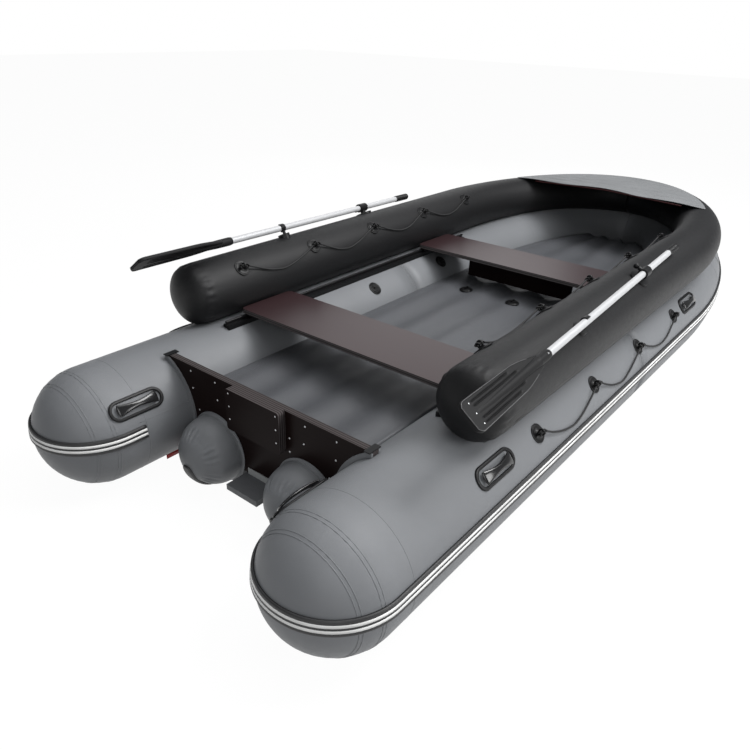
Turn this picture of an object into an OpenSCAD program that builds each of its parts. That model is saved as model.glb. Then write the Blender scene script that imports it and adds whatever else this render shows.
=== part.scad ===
// Inflatable dinghy with a bulwark tube, plywood transom and seats, stowed oars and a bow canopy.
// +X points to the bow, +Y to port, +Z up. The tubes stand on z = 0.

/* [Hull] */
// Overall length of the main tube
length = 4800; // [4300:10:5200]
// Beam over the main tubes
beam = 1800; // [1650:10:2000]
// Diameter of the main tube
tube_d = 494; // [440:2:520]
// Length of the bow curve, back from the tip of the bow
bow_run = 1700; // [1500:10:1850]
// Rise of the tube axis at the bow
bow_rise = 112; // [0:2:160]
// Station of the baffle between the aft and fore chambers
baffle_at = 2200; // [2150:10:2300]

/* [Bulwark] */
// Diameter of the bulwark tube along the sides
bulwark_d = 280; // [220:2:300]
// Diameter of the bulwark tube at the bow
bulwark_bow_d = 244; // [200:2:280]
// Distance of the bulwark axis outboard of the main tube axis
bulwark_out = 80; // [60:1:110]
// Station where the straight aft end of the bulwark starts
bulwark_from = 910; // [840:10:960]
// Distance from the bow tip back to the bulwark axis
bulwark_setback = 480; // [440:10:560]

/* [Strake] */
// Width of the rubbing strake, along the tube's skin
strake_w = 56; // [40:1:70]
// Thickness of the rubbing strake
strake_t = 9; // [6:0.5:12]
// Height of the strake's middle above the tube axis
strake_up = 31; // [10:1:50]

/* [Floor and keel] */
// Diameter of the two keel tubes
keel_d = 316; // [280:2:330]
// Distance of a keel tube from the middle of the boat
keel_y = 210; // [190:1:220]
// Height of the keel tubes' undersides
keel_low = 22; // [12:1:32]
// Thickness of the floor at its crowns
floor_t = 40; // [30:1:50]
// Depth of the valleys between the floor's crowns
valley = 16; // [6:1:22]
// Length of a pod behind the transom
pod_len = 172; // [160:2:200]
// Radius of a pod
pod_r = 146; // [130:1:150]
// Distance of a pod from the middle of the boat
pod_y = 250; // [240:1:256]
// Height of a pod's axis
pod_z = 162; // [160:1:170]

/* [Transom] */
// Station of the transom's aft face
transom_at = 550; // [530:5:600]
// Thickness of the transom board
transom_t = 30; // [20:1:40]
// Depth of the transom's top edge under the top of the tubes
transom_drop = 4; // [0:1:24]
// Height of the transom's bottom edge
transom_foot = 108; // [90:2:130]
// Width of the motor pad
pad_w = 290; // [220:5:340]
// Thickness of the motor pad
pad_t = 35; // [15:1:45]

/* [Seats] */
// Reach of a seat board beyond the middle of each rail
seat_over = 20; // [16:1:23]
// Width of a seat board, fore and aft
seat_w = 320; // [220:5:340]
// Thickness of a seat board
seat_t = 20; // [15:1:24]
// Height of a seat board's underside above the rails
seat_up = 25; // [22:1:35]
// Station of the rear seat's aft edge
rear_seat_at = 1010; // [980:10:1100]
// Station of the front seat's aft edge
front_seat_at = 2430; // [2400:10:2450]
// Width of the panel under the front seat
panel_w = 660; // [500:10:700]

/* [Oars] */
// Length of an oar, tip to grip
oar_len = 2060; // [1900:10:2100]
// Diameter of the shaft
shaft_d = 30; // [26:1:34]
// Width of the blade
blade_w = 110; // [100:2:130]
// Length of the blade
blade_len = 530; // [450:10:560]
// Station of the rowlocks
rowlock_at = 2140; // [2000:10:2200]
// Angle of the stowed port oar to the boat's middle line
oar_yaw_port = 4; // [0:0.1:4.5]
// Angle of the stowed starboard oar to the boat's middle line
oar_yaw_starboard = 2.5; // [0:0.1:4.5]
// Lean of the rowlocks outboard, round the bulwark
oar_lean = 28; // [0:1:40]
// Turn of the blades outboard, round the shafts
blade_roll = 10; // [0:1:20]
// Height of the oar's axis above the bulwark
oar_up = 37; // [35:1:50]

/* [Fittings] */
// Diameter of the lifeline cord
cord_d = 8; // [6:1:8]
// Radius of a lifeline patch
patch_r = 38; // [30:1:42]
// Length of a carrying handle's base
handle_len = 240; // [200:5:260]
// Width of a carrying handle's base
handle_w = 86; // [70:2:96]
// Radius of a valve's flange
valve_r = 38; // [34:1:42]
// Radius of a tow ring, to the middle of its wire
ring_r = 25; // [20:1:30]

/* [Hidden] */
$fn = 64;

// Gaps between pieces that lie on one another
seat_gap = 0.3;
run_gap = 0.05;
slide_gap = 0.3;
press_gap = 1;

bow_start = length - bow_run;
tube_r = tube_d / 2;
axis_y = beam / 2 - tube_r;
axis_tip = length - tube_r;
bow_len = axis_tip - bow_start;
sheer_start = bow_start - 100;

// Stations run from the stern tip, and the part's frame has its origin under the middle of the boat
function st(x) = x - length / 2;
function unit(v) = v / norm(v);
function lift(x) = bow_rise * pow(max(0, (x - sheer_start) / (axis_tip - sheer_start)), 2);

// A frame is [point on the axis, outward normal]: along the side, round the bow, and round the stern end
function side_frame(x) = [[st(x), axis_y, tube_r + lift(x)], [0, 1, 0]];
function bow_frame(a, start, len, half, z) =
    let (x = start + len * sin(a))
    [[st(x), half * cos(a), z], unit([sin(a) / len, cos(a) / half, 0])];
function main_bow(a) = bow_frame(a, bow_start, bow_len, axis_y, tube_r + lift(bow_start + bow_len * sin(a)));
function stern_frame(a) = [[st(tube_r), axis_y, tube_r], [-sin(a), -cos(a), 0]];
function polar(f, r, a) = f[0] + r * (cos(a) * f[1] + sin(a) * [0, 0, 1]);

// Closed solid through rings of equally many points, an even number of them
module loft(rings) {
    n = len(rings[0]);
    last = (len(rings) - 1) * n;
    points = [for (ring = rings) each ring];
    sides = [
        for (j = [0 : len(rings) - 2], i = [0 : n - 1])
            let (k = (i + 1) % n, a = j * n + i, b = j * n + k)
            each [[a, a + n, b + n], [a, b + n, b]]
    ];
    end = [for (i = [0 : n / 2 - 2]) each [[i, i + 1, n - 1 - i], [i + 1, n - 2 - i, n - 1 - i]]];
    far_end = [for (f = end) [last + f[2], last + f[1], last + f[0]]];
    polyhedron(points, concat(sides, end, far_end), convexity = 8);
}

module starboard() mirror([0, 1, 0]) children();

// Children stand on the main tube's skin, with local +Z out of it; 0 degrees is outboard, 90 is up
module on_tube(x, a) translate([st(x), axis_y, tube_r]) rotate([a - 90, 0, 0]) translate([0, 0, tube_r]) children();

// Main tube
tube_sides = 36;
bow_steps = 18;
main_rings = concat(
    [side_frame(baffle_at), side_frame(sheer_start)],
    [for (i = [0 : bow_steps]) main_bow(90 * i / bow_steps)]
);

module chamber_aft() color("#7d8084") {
    translate([st(tube_r), axis_y, tube_r]) sphere(tube_r);
    translate([st(tube_r), axis_y, tube_r]) rotate([0, 90, 0]) cylinder(r = tube_r, h = baffle_at - tube_r);
}
module chamber_fore() color("#7d8084")
    loft([for (f = main_rings) [for (i = [0 : tube_sides - 1]) polar(f, tube_r, 360 * i / tube_sides)]]);

// Bulwark: a tube on its own bow curve, dented where it presses on the main tube
bulwark_r = bulwark_d / 2;
bulwark_bow_r = bulwark_bow_d / 2;
bulwark_y = axis_y + bulwark_out;
bulwark_press = 7;
bulwark_z = tube_r + sqrt(pow(tube_r + bulwark_r - bulwark_press, 2) - pow(bulwark_out, 2));
bulwark_bend = bow_start - 50;
bulwark_len = length - bulwark_setback - bulwark_bend;
bulwark_bow_lift = 15;
bulwark_sides = 36;
dome_angles = [80, 66, 50, 34, 17];
axis_samples = concat(
    [for (i = [1 : 40]) side_frame(sheer_start - 400 + 12.5 * i)[0]],
    [for (i = [0 : 120]) main_bow(0.75 * i)[0]]
);
function bulwark_frame(a) =
    bow_frame(a, bulwark_bend, bulwark_len, bulwark_y, bulwark_z + bulwark_bow_lift * pow(sin(a), 2));
function bulwark_radius(a) = bulwark_r + (bulwark_bow_r - bulwark_r) * sin(a);
function nearest(p) =
    let (d = [for (q = axis_samples) norm(p - q)], low = min(d))
    axis_samples[search(low, d)[0]];
function pushed(p) =
    let (q = p.x < st(sheer_start - 200) ? [p.x, axis_y, tube_r] : nearest(p), d = norm(p - q))
    d < tube_r + press_gap ? q + (p - q) * (tube_r + press_gap) / d : p;
function bulwark_ring(f, r) = [for (i = [0 : bulwark_sides - 1]) pushed(polar(f, r, 360 * i / bulwark_sides))];
function bulwark_side(x) = [[st(x), bulwark_y, bulwark_z], [0, 1, 0]];

module bulwark() color("#2d2d2f") loft(concat(
    [for (a = dome_angles) bulwark_ring(bulwark_side(bulwark_from - bulwark_r * sin(a)), bulwark_r * cos(a))],
    [for (x = [bulwark_from, sheer_start - 250]) bulwark_ring(bulwark_side(x), bulwark_r)],
    [for (i = [0 : bow_steps])
        let (a = 90 * i / bow_steps)
        bulwark_ring(bulwark_frame(a), bulwark_radius(a))]
));
module on_bulwark(x, a)
    translate([st(x), bulwark_y, bulwark_z]) rotate([a - 90, 0, 0]) translate([0, 0, bulwark_r]) children();

// Rubbing strake: from the inner side of the stern, round its end and along the side to the bow
strake_inner_end = 320;
strake_mid = asin(strake_up / tube_r);
strake_half = strake_w / 2 / tube_r * 180 / PI;
strake_gap = 1.1;
stern_steps = 24;
stripe_t = 1.5;
stripe_half = 1.3;
stripe_off = 2;
strake_frames = concat(
    [[[st(strake_inner_end), axis_y, tube_r], [0, -1, 0]]],
    [for (i = [0 : stern_steps]) stern_frame(180 * i / stern_steps)],
    [side_frame(sheer_start)],
    [for (i = [0 : bow_steps]) main_bow(90 * i / bow_steps)]
);
function band(f, r0, r1, mid, half) = [
    polar(f, r0, mid - half), polar(f, r1, mid - half * 0.8), polar(f, r1, mid),
    polar(f, r1, mid + half * 0.8), polar(f, r0, mid + half), polar(f, r0, mid + half / 2),
    polar(f, r0, mid), polar(f, r0, mid - half / 2)
];
module rub_strake() color("#232325") for (m = [0, 1]) mirror([0, m, 0])
    loft([for (f = strake_frames)
        band(f, tube_r + strake_gap, tube_r + strake_t, strake_mid, strake_half)]);
function stripe(f, mid) = [
    polar(f, tube_r + strake_t, mid - stripe_half), polar(f, tube_r + strake_t + stripe_t, mid - stripe_half),
    polar(f, tube_r + strake_t + stripe_t, mid + stripe_half), polar(f, tube_r + strake_t, mid + stripe_half)
];
module strake_stripes() color("#e8e8e8") for (m = [0, 1], s = [-1, 1]) mirror([0, m, 0])
    loft([for (f = strake_frames) stripe(f, strake_mid + s * stripe_off)]);

// Keel tubes, floor and bottom
keel_r = keel_d / 2;
keel_z = keel_r + keel_low;
keel_from = transom_at + transom_t + 1;
keel_to = bow_start + 280;
floor_low = keel_z + keel_r + seat_gap;
floor_top = floor_low + floor_t;
floor_to = length - 760;
floor_steps = 24;
floor_crowns = 4;
floor_stations = concat([keel_from, sheer_start - 100], [for (i = [0 : 10]) bow_start + (floor_to - bow_start) * i / 10]);

// Half of the clear width between the main tubes at a station and height
function clear_half(x, z) = min([for (q = axis_samples)
    let (up = z - q.z, reach = sqrt(max(0, pow(tube_r + 4, 2) - up * up)))
    if (abs(q.x - st(x)) < reach) q.y - sqrt(reach * reach - pow(q.x - st(x), 2))]);
function inner_half(x, z) = clear_half(max(x, sheer_start - 200), z);
function floor_ring(x) =
    let (w = inner_half(x, floor_low), across = [for (i = [0 : floor_steps]) 1 - 2 * i / floor_steps])
    concat(
        [for (u = across) [st(x), w * u, floor_at(u)]],
        [for (u = across) [st(x), -w * u, floor_low]]
    );
module floor() color("#74777b") loft([for (x = floor_stations) floor_ring(x)]);

module keel_tube() color("#7d8084") {
    translate([st(keel_from), keel_y, keel_z]) rotate([0, 90, 0]) cylinder(r = keel_r, h = keel_to - keel_from);
    translate([st(keel_to), keel_y, keel_z]) sphere(keel_r);
}

// Outline across the boat, extruded forward from a station: 2D x is +Y and 2D y is +Z
module across(x, t) translate([st(x), 0, 0]) rotate([90, 0, 90]) linear_extrude(t) children();
module tube_circle(gap) translate([axis_y, tube_r]) circle(tube_r + gap);
module keel_circle(gap) translate([keel_y, keel_z]) circle(keel_r + gap);
sheet_t = 4;
sheet_z = transom_foot - sheet_t;
sheet_top = sheet_z + sheet_t;
sheet_to = length - 420;
sheet_edge = concat(
    [[st(keel_from), inner_half(keel_from, sheet_top)]],
    [for (i = [0 : 14]) let (x = sheer_start + (sheet_to - sheer_start) * i / 14) [st(x), inner_half(x, sheet_top)]]
);
module bottom_sheet() color("#6a6d70") difference() {
    translate([0, 0, sheet_z]) linear_extrude(sheet_t)
        polygon(concat(sheet_edge, [for (i = [len(sheet_edge) - 1 : -1 : 0]) [sheet_edge[i].x, -sheet_edge[i].y]]));
    for (s = [-1, 1]) translate([st(keel_from) - 1, s * keel_y, keel_z]) {
        rotate([0, 90, 0]) cylinder(r = keel_r + seat_gap, h = keel_to - keel_from + 1);
        translate([keel_to - keel_from + 1, 0, 0]) sphere(keel_r + seat_gap);
    }
}

// Pods behind the transom
flange_t = 4;
flange_r = pod_r + 10;
pod_back = transom_at - seat_gap;
pod_mid = pod_back - pod_len + pod_r;
module pod() color("#7d8084") translate([st(pod_back), pod_y, pod_z]) rotate([0, -90, 0]) rotate_extrude()
    intersection() {
        union() {
            translate([0, pod_back - pod_mid]) circle(pod_r);
            square([pod_r, pod_back - pod_mid]);
            square([flange_r, flange_t]);
        }
        square([flange_r, pod_len]);
    }
guard_w = 40;
guard_t = 8;
guard_turn = 65;
module keel_guards() color("#222224") for (s = [-1, 1])
    translate([st(pod_mid), s * pod_y + guard_w / 2, pod_z]) rotate([90, 0, 0]) linear_extrude(guard_w) {
        intersection() {
            difference() {
                circle(pod_r + seat_gap + guard_t);
                circle(pod_r + seat_gap);
            }
            polygon([[0, 0], [0, -2 * pod_r], [-2 * pod_r, -2 * pod_r],
                [-2 * pod_r * sin(guard_turn), -2 * pod_r * cos(guard_turn)]]);
        }
        translate([0, -pod_r - seat_gap - guard_t]) square([pod_back - pod_mid - flange_t - 1, guard_t]);
    }

// Flap between the pods' collars, and the plate that stands on it
flap_len = 110;
flap_t = 25;
flap_side = 8;
flap_z = transom_foot - flap_t;
flap_w = 2 * (pod_y - flange_r - flap_side);
module tunnel_flap() color("#6f7276")
    translate([st(pod_back - flap_len), -flap_w / 2, flap_z]) cube([flap_len, flap_w, flap_t]);
splash_w = 150;
splash_h = 28;
splash_t = 4;
module splash_plate() color("#c9cbc9")
    translate([st(pod_back - splash_t), -splash_w / 2, transom_foot + seat_gap]) cube([splash_t, splash_w, splash_h]);

gusset_low = 12;
gusset_h = 110;
module stern_gussets() color("#a01010") for (s = [0, 1]) mirror([0, s, 0])
    across(pod_back - flange_t, flange_t, $fn = 256) difference() {
        translate([pod_y + pod_r / 2, gusset_low]) square([axis_y - pod_y - pod_r / 2, gusset_h]);
        tube_circle(seat_gap);
        translate([pod_y, pod_z]) circle(flange_r + seat_gap);
    }

// Transom
transom_half = axis_y - 100;
transom_top = tube_d - transom_drop;
transom_skirt = axis_y - tube_r;
module transom_outline() difference() {
    union() {
        translate([-transom_skirt, transom_foot]) square([2 * transom_skirt, transom_top - transom_foot]);
        translate([-transom_half, tube_r]) square([2 * transom_half, transom_top - tube_r]);
    }
    for (s = [0, 1]) mirror([s, 0]) tube_circle(press_gap);
}
module transom_board() color("#2b1d1c") across(transom_at, transom_t) transom_outline();

pad_clear = 2;
above_pods = transom_top - pod_z - pod_r;
pad_h = above_pods - pad_clear;
pad_corner = 12;
screw_r = 5;
screw_t = 2.5;
pad_screw_in = 17;
pad_screw_z = [18, pad_h / 2 - 15, pad_h - 48];
module rounded(w, h, r) {
    translate([r - w / 2, -h / 2]) square([w - 2 * r, h]);
    translate([-w / 2, r - h / 2]) square([w, h - 2 * r]);
    for (x = [-1, 1], y = [-1, 1]) translate([x * (w / 2 - r), y * (h / 2 - r)]) circle(r);
}
module screw(y, z, back, gap = 0) translate([st(back - screw_t - gap), y, z]) rotate([0, 90, 0])
    cylinder(r = screw_r + gap, h = screw_t + 2 * gap);
// The pad's screws are sunk just under its face, so that a motor bracket lies flat on it
module pad_screws(gap) for (s = [-1, 1], z = pad_screw_z)
    screw(s * (pad_w / 2 - pad_screw_in), transom_top - z, transom_at - pad_t + screw_t + seat_gap, gap);
module motor_pad() color("#332322") difference() {
    across(transom_at - pad_t, pad_t) translate([0, transom_top - pad_h / 2]) rounded(pad_w, pad_h, pad_corner);
    pad_screws(seat_gap);
}

holder_t = 8;
holder_w = 18;
holder_foot = 200;
module holder_outline() intersection() {
    difference() {
        tube_circle(press_gap + holder_w);
        tube_circle(press_gap);
    }
    translate([transom_skirt - holder_w, holder_foot]) square([transom_half - transom_skirt + holder_w, transom_top - holder_foot - 2]);
}
module transom_holders() color("#55585b") for (s = [0, 1]) mirror([0, s, 0]) {
    across(transom_at - holder_t, holder_t) difference() {
        holder_outline();
        translate([pod_y, pod_z]) circle(flange_r + 1);
    }
    across(transom_at + transom_t, holder_t) difference() {
        holder_outline();
        translate([0, floor_low - 1]) square([inner_half(keel_from, floor_low) + 1, floor_t + 2]);
        keel_circle(1);
    }
}
cap_l = 60;
cap_w = 26;
cap_t = 4;
module holder_caps() color("#d8dadc") for (s = [-1, 1])
    translate([st(transom_at + transom_t / 2) - cap_l / 2, s * (transom_half - cap_w / 2 - 2) - cap_w / 2, transom_top])
        cube([cap_l, cap_w, cap_t]);

// Screws through the board, as distance from the middle and depth under the top edge,
// spread over the height that is free above the pods
screw_field = 182;
board_screws = [[245, 27], [395, 27], [238, 104], [392, 104], [362, 196], [165, 110], [165, 170]];
module transom_screws() color("#d0d2d4") {
    for (s = [-1, 1], p = board_screws) screw(s * p[0], transom_top - p[1] * above_pods / screw_field, transom_at);
    screw(0, transom_top - pad_h - 27, transom_at);
    pad_screws(0);
}

// Seats on their rails
rail_y = axis_y - 71;
rail_from = 900;
rail_to = 2900;
rail_half = 19;
rail_top = tube_d + 6;
bead_r = 6;
bead_z = rail_top + 13;
web_t = 4;
module seat_rails() color("#1d1d1f") for (s = [0, 1]) mirror([0, s, 0]) across(rail_from, rail_to - rail_from) {
    difference() {
        translate([rail_y - rail_half, rail_top - 40]) square([2 * rail_half, 40]);
        tube_circle(seat_gap);
    }
    translate([rail_y - web_t / 2, rail_top - 1]) square([web_t, bead_z - rail_top]);
    translate([rail_y, bead_z]) circle(bead_r);
}
slide_len = seat_w - 40;
slide_low = rail_top + 3;
seat_z = rail_top + seat_up;
seat_len = 2 * (rail_y + seat_over);
slide_half = 14;
module seat_slide(x) color("#242426") across(x + 20, slide_len) difference() {
    translate([rail_y - slide_half, slide_low]) square([2 * slide_half, seat_z - slide_low]);
    translate([rail_y, bead_z]) circle(bead_r + slide_gap);
    translate([rail_y - web_t / 2 - slide_gap, slide_low - 1]) square([web_t + 2 * slide_gap, bead_z - slide_low]);
}
module seat_slides(x) for (s = [0, 1]) mirror([0, s, 0]) seat_slide(x);
seat_corner = 25;
module seat_board(x) color("#4a2a2a")
    translate([st(x + seat_w / 2), 0, seat_z]) linear_extrude(seat_t) rounded(seat_w, seat_len, seat_corner);
module rear_seat_board() seat_board(rear_seat_at);
module rear_seat_slides() seat_slides(rear_seat_at);
module front_seat_board() seat_board(front_seat_at);
module front_seat_slides() seat_slides(front_seat_at);
panel_at = front_seat_at + 165;
panel_board_t = 12;
panel_low = floor_top + 1;
dip_d = 34;
dip_in = 60;
dip_r = 17;
module front_seat_panel() color("#2b1d1c") across(panel_at, panel_board_t) difference() {
    translate([-panel_w / 2, panel_low]) square([panel_w, seat_z - panel_low]);
    translate([0, seat_z]) rounded(panel_w - 2 * dip_in, 2 * dip_d, dip_r);
}

// Canopy: rays from the middle of its aft edge over the bulwark's top to its outer side
canopy_reach = 1100;
canopy_from = length - canopy_reach;
canopy_t = 5;
canopy_rays = 36;
canopy_steps = 6;
wrap_angles = [87, 82];
canopy_crown = 18;
fold_h = 5;
fold_count = 9;
canopy_start = asin((canopy_from - bulwark_bend) / bulwark_len);
function mirrored(p) = [p.x, -p.y, p.z];
function canopy_frame(k) =
    let (s = 1 - 2 * k / canopy_rays, a = 90 - (90 - canopy_start) * abs(s), f = bulwark_frame(a))
    s >= 0 ? [f[0], f[1], bulwark_radius(a)] : [mirrored(f[0]), mirrored(f[1]), bulwark_radius(a)];
function canopy_ray(k, up) =
    let (
        f = canopy_frame(k), r = f[2] + seat_gap + press_gap + up, top = polar(f, r, 90),
        mid = [st(canopy_from), 0, bulwark_z + bulwark_r + canopy_crown + up],
        wave = fold_h * cos(360 * fold_count * k / canopy_rays)
    )
    concat(
        [for (i = [1 : canopy_steps])
            let (u = i / (canopy_steps + 1))
            mid + (top - mid) * u + [0, 0, wave * sin(180 * u)]],
        [top],
        [for (a = wrap_angles) polar(f, r, a)]
    );
module canopy() color("#787a7d")
    loft([for (k = [0 : canopy_rays])
        let (over = canopy_ray(k, canopy_t), under = canopy_ray(k, 0), n = len(over))
        concat(over, [for (i = [n - 1 : -1 : 0]) under[i]])]);

// Oars: the shaft's axis runs along local X, blade end at -X, turned about the rowlock pin
shaft_r = shaft_d / 2;
oar_z = bulwark_z + bulwark_r + oar_up;
oar_fore = 480;
oar_aft = oar_len - oar_fore;
neck = 60;
grip_len = 130;
grip_r = shaft_r + 3;
module at_pin(s) translate([st(rowlock_at), s * bulwark_y, bulwark_z]) rotate([-s * oar_lean, 0, 0])
    translate([0, 0, oar_z - bulwark_z]) children();
module on_oar(s) at_pin(s) rotate([0, 0, s > 0 ? oar_yaw_port : oar_yaw_starboard]) children();
module along_x(from, to) translate([from, 0, 0]) rotate([0, 90, 0]) linear_extrude(to - from) children();
module oar_shaft(s) color("#d9dbdc") on_oar(s) along_x(-oar_aft + blade_len - neck, oar_fore - grip_len)
    difference() {
        circle(shaft_r);
        circle(shaft_r - 1.5);
    }
module oar_grip(s) color("#1c1c1e") on_oar(s) {
    along_x(oar_fore - grip_len, oar_fore - 8) circle(grip_r);
    along_x(oar_fore - 8, oar_fore) circle(grip_r - 3);
}
blade_t = 7;
rib_t = 6;
rib_w = 10;
tip_corner = 26;
neck_half = 20;
module blade_outline() {
    x0 = -oar_aft;
    polygon([
        [x0 + tip_corner, -blade_w / 2], [x0 + blade_len * 0.55, -blade_w / 2 * 0.92],
        [x0 + blade_len, -neck_half], [x0 + blade_len, neck_half],
        [x0 + blade_len * 0.55, blade_w / 2 * 0.92], [x0 + tip_corner, blade_w / 2]
    ]);
    for (y = [-1, 1]) translate([x0 + tip_corner, y * (blade_w / 2 - tip_corner)]) circle(tip_corner);
    translate([x0, tip_corner - blade_w / 2]) square([tip_corner, blade_w - 2 * tip_corner]);
}
socket_r = shaft_r + 4;
socket_len = neck + 30;
module oar_blade(s) color("#1f1f21") on_oar(s) rotate([-s * blade_roll, 0, 0]) difference() {
    union() {
        translate([0, 0, -blade_t / 2]) linear_extrude(blade_t) blade_outline();
        for (y = [-33, 33], z = [-blade_t / 2 - rib_t + 1, blade_t / 2 - 1])
            translate([40 - oar_aft, y - rib_w / 2, z]) cube([blade_len * 0.62, rib_w, rib_t]);
        along_x(-oar_aft + blade_len - socket_len, -oar_aft + blade_len + 10) circle(socket_r);
    }
    along_x(-oar_aft + blade_len - neck, -oar_aft + blade_len + 20) circle(shaft_r + run_gap);
}

// Rowlocks: a base with a pin on the bulwark, and a collar on the shaft that turns on the pin
base_r = 45;
base_h = 5;
pin_r = 6;
pin_low = bulwark_z + bulwark_r + seat_gap + base_h - oar_z;
pin_top = -shaft_r - 9;
collar_len = 60;
collar_r = shaft_r + 8;
stem_r = 15;
module rowlock_bases() color("#1b1b1d") for (s = [-1, 1]) difference() {
    at_pin(s) {
        translate([0, 0, pin_low - base_h - 12]) cylinder(r = base_r, h = base_h + 12);
        translate([0, 0, pin_low - 1]) cylinder(r = pin_r, h = pin_top - pin_low + 1);
    }
    translate([st(rowlock_at) - base_r - 1, s * bulwark_y, bulwark_z]) rotate([0, 90, 0])
        cylinder(r = bulwark_r + seat_gap, h = 2 * base_r + 2, $fn = 256);
}
boss_r = 9;
boss_out = 34;
module rowlock_collar(s) color("#1b1b1d") on_oar(s) difference() {
    union() {
        along_x(-collar_len / 2, collar_len / 2) circle(collar_r);
        translate([0, 0, pin_low + seat_gap]) cylinder(r = stem_r, h = -pin_low - seat_gap);
        rotate([-90, 0, 0]) cylinder(r = boss_r, h = boss_out);
    }
    along_x(-collar_len, collar_len) circle(shaft_r + run_gap);
    translate([0, 0, pin_low - 1]) cylinder(r = pin_r + run_gap, h = pin_top + seat_gap - pin_low + 1);
    rotate([-90, 0, 0]) translate([0, 0, shaft_r + 4]) cylinder(r = 4 + run_gap, h = boss_out);
}
knob_r = 13;
module rowlock_knob(s) color("#161618") on_oar(s) rotate([-90, 0, 0]) {
    translate([0, 0, shaft_r + 5]) cylinder(r = 4, h = boss_out - shaft_r + 3);
    translate([0, 0, boss_out + knob_r]) sphere(knob_r);
}
clip_at = -690;
clip_r = shaft_r + 0.5;
clip_t = 5;
clip_w = 26;
clip_post = 8;
clip_base_r = 30;
clip_sink = 28;
module oar_clip(s) difference() {
    union() {
        on_oar(s) translate([clip_at - clip_w / 2, 0, 0]) rotate([0, 90, 0]) rotate([0, 0, s > 0 ? 0 : 180])
            linear_extrude(clip_w) difference() {
                circle(clip_r + clip_t);
                circle(clip_r);
                translate([-clip_r - clip_t - 1, 0]) square([2 * (clip_r + clip_t + 1), clip_r + clip_t + 1]);
            }
        on_oar(s) translate([clip_at, -s * clip_post, -oar_up - 16])
            cylinder(r = clip_post, h = oar_up + 16 - clip_r - 1);
        on_oar(s) translate([clip_at, 0, -oar_up - clip_sink]) cylinder(r = clip_base_r, h = clip_sink + base_h);
    }
    translate([st(rowlock_at) + clip_at - 40, s * bulwark_y, bulwark_z]) rotate([0, 90, 0])
        cylinder(r = bulwark_r + seat_gap, h = 80, $fn = 256);
}
module oar_clips() color("#1b1b1d") for (s = [-1, 1]) oar_clip(s);

// Lifelines: round patches with an eye, and the cords that run through the eyes
eye_up = 20;
eye_r = 11;
eye_wire = 4;
patch_t = 4;
outer_angle = 38;
inner_angle = 135;
outer_stations = [1170, 1690, 2210, 2730];
inner_stations = [1060, 1540, 2020, 2500, 2980];
module eye() {
    translate([0, 0, seat_gap]) cylinder(r1 = patch_r, r2 = patch_r - 6, h = patch_t);
    translate([0, 0, eye_up]) rotate([0, 90, 0]) rotate_extrude() translate([eye_r, 0]) circle(eye_wire);
    translate([0, 0, seat_gap + 1]) cylinder(r1 = 12, r2 = 7, h = eye_up - eye_r - 1);
}
module lifeline_eyes() color("#1b1b1d") for (s = [0, 1]) mirror([0, s, 0]) {
    for (x = outer_stations) on_tube(x, outer_angle) eye();
    for (x = inner_stations) on_bulwark(x, inner_angle) eye();
}

// Routes of the cords, port side, as station, angle round the tube and height off its skin
outer_route = [
    [1170, 38, 20], [1200, 36, 19], [1260, 30, 10], [1340, 24, 7], [1430, 21, 7], [1520, 24, 7], [1600, 30, 10], [1660, 36, 19],
    [1690, 38, 20], [1720, 36, 19], [1780, 30, 10], [1860, 23, 7], [1950, 20, 7], [2040, 24, 7], [2120, 30, 10], [2180, 36, 19],
    [2210, 38, 20], [2240, 36, 19], [2300, 31, 10], [2380, 25, 7], [2470, 22, 7], [2560, 24, 7], [2640, 30, 10], [2700, 36, 19],
    [2730, 38, 20]
];
inner_route = [
    [1060, 135, 20], [1090, 138, 19], [1150, 146, 10], [1220, 155, 7], [1300, 159, 7], [1380, 154, 7], [1450, 146, 10], [1510, 138, 19],
    [1540, 135, 20], [1570, 138, 19], [1630, 147, 10], [1700, 157, 7], [1780, 161, 7], [1860, 155, 7], [1930, 146, 10], [1990, 138, 19],
    [2020, 135, 20], [2050, 138, 19], [2110, 146, 10], [2180, 155, 7], [2260, 160, 7], [2340, 156, 7], [2410, 146, 10], [2470, 138, 19],
    [2500, 135, 20], [2530, 138, 19], [2590, 146, 10], [2660, 155, 7], [2740, 159, 7], [2820, 155, 7], [2890, 146, 10], [2950, 138, 19],
    [2980, 135, 20]
];
cord_sides = 8;
knot_r = 9;
knot_out = 16;
function outer_point(p) = polar([[st(p[0]), axis_y, tube_r], [0, 1, 0]], tube_r + p[2], p[1]);
function inner_point(p) = polar(bulwark_side(p[0]), bulwark_r + p[2], p[1]);
function along(pts, i) =
    unit(pts[min(i + 1, len(pts) - 1)] - pts[max(i - 1, 0)]);
function disc(p, t, r) =
    let (u = unit(cross([0, 0, 1], t)), v = cross(t, u))
    [for (i = [0 : cord_sides - 1]) let (a = 360 * i / cord_sides) p + r * (cos(a) * v + sin(a) * u)];
module lifeline(pts) color("#161617") {
    n = len(pts) - 1;
    fore = [1, 0, 0];
    loft(concat(
        [for (k = [[-knot_out - knot_r, 3], [-knot_out, knot_r], [-knot_out + knot_r, cord_d / 2]])
            disc(pts[0] + k[0] * fore, fore, k[1])],
        [for (i = [0 : n]) disc(pts[i], along(pts, i), cord_d / 2)],
        [for (k = [[knot_out - knot_r, cord_d / 2], [knot_out, knot_r], [knot_out + knot_r, 3]])
            disc(pts[n] + k[0] * fore, fore, k[1])]
    ));
}
module lifeline_outer() lifeline([for (p = outer_route) outer_point(p)]);
module lifeline_inner() lifeline([for (p = inner_route) inner_point(p)]);

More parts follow.
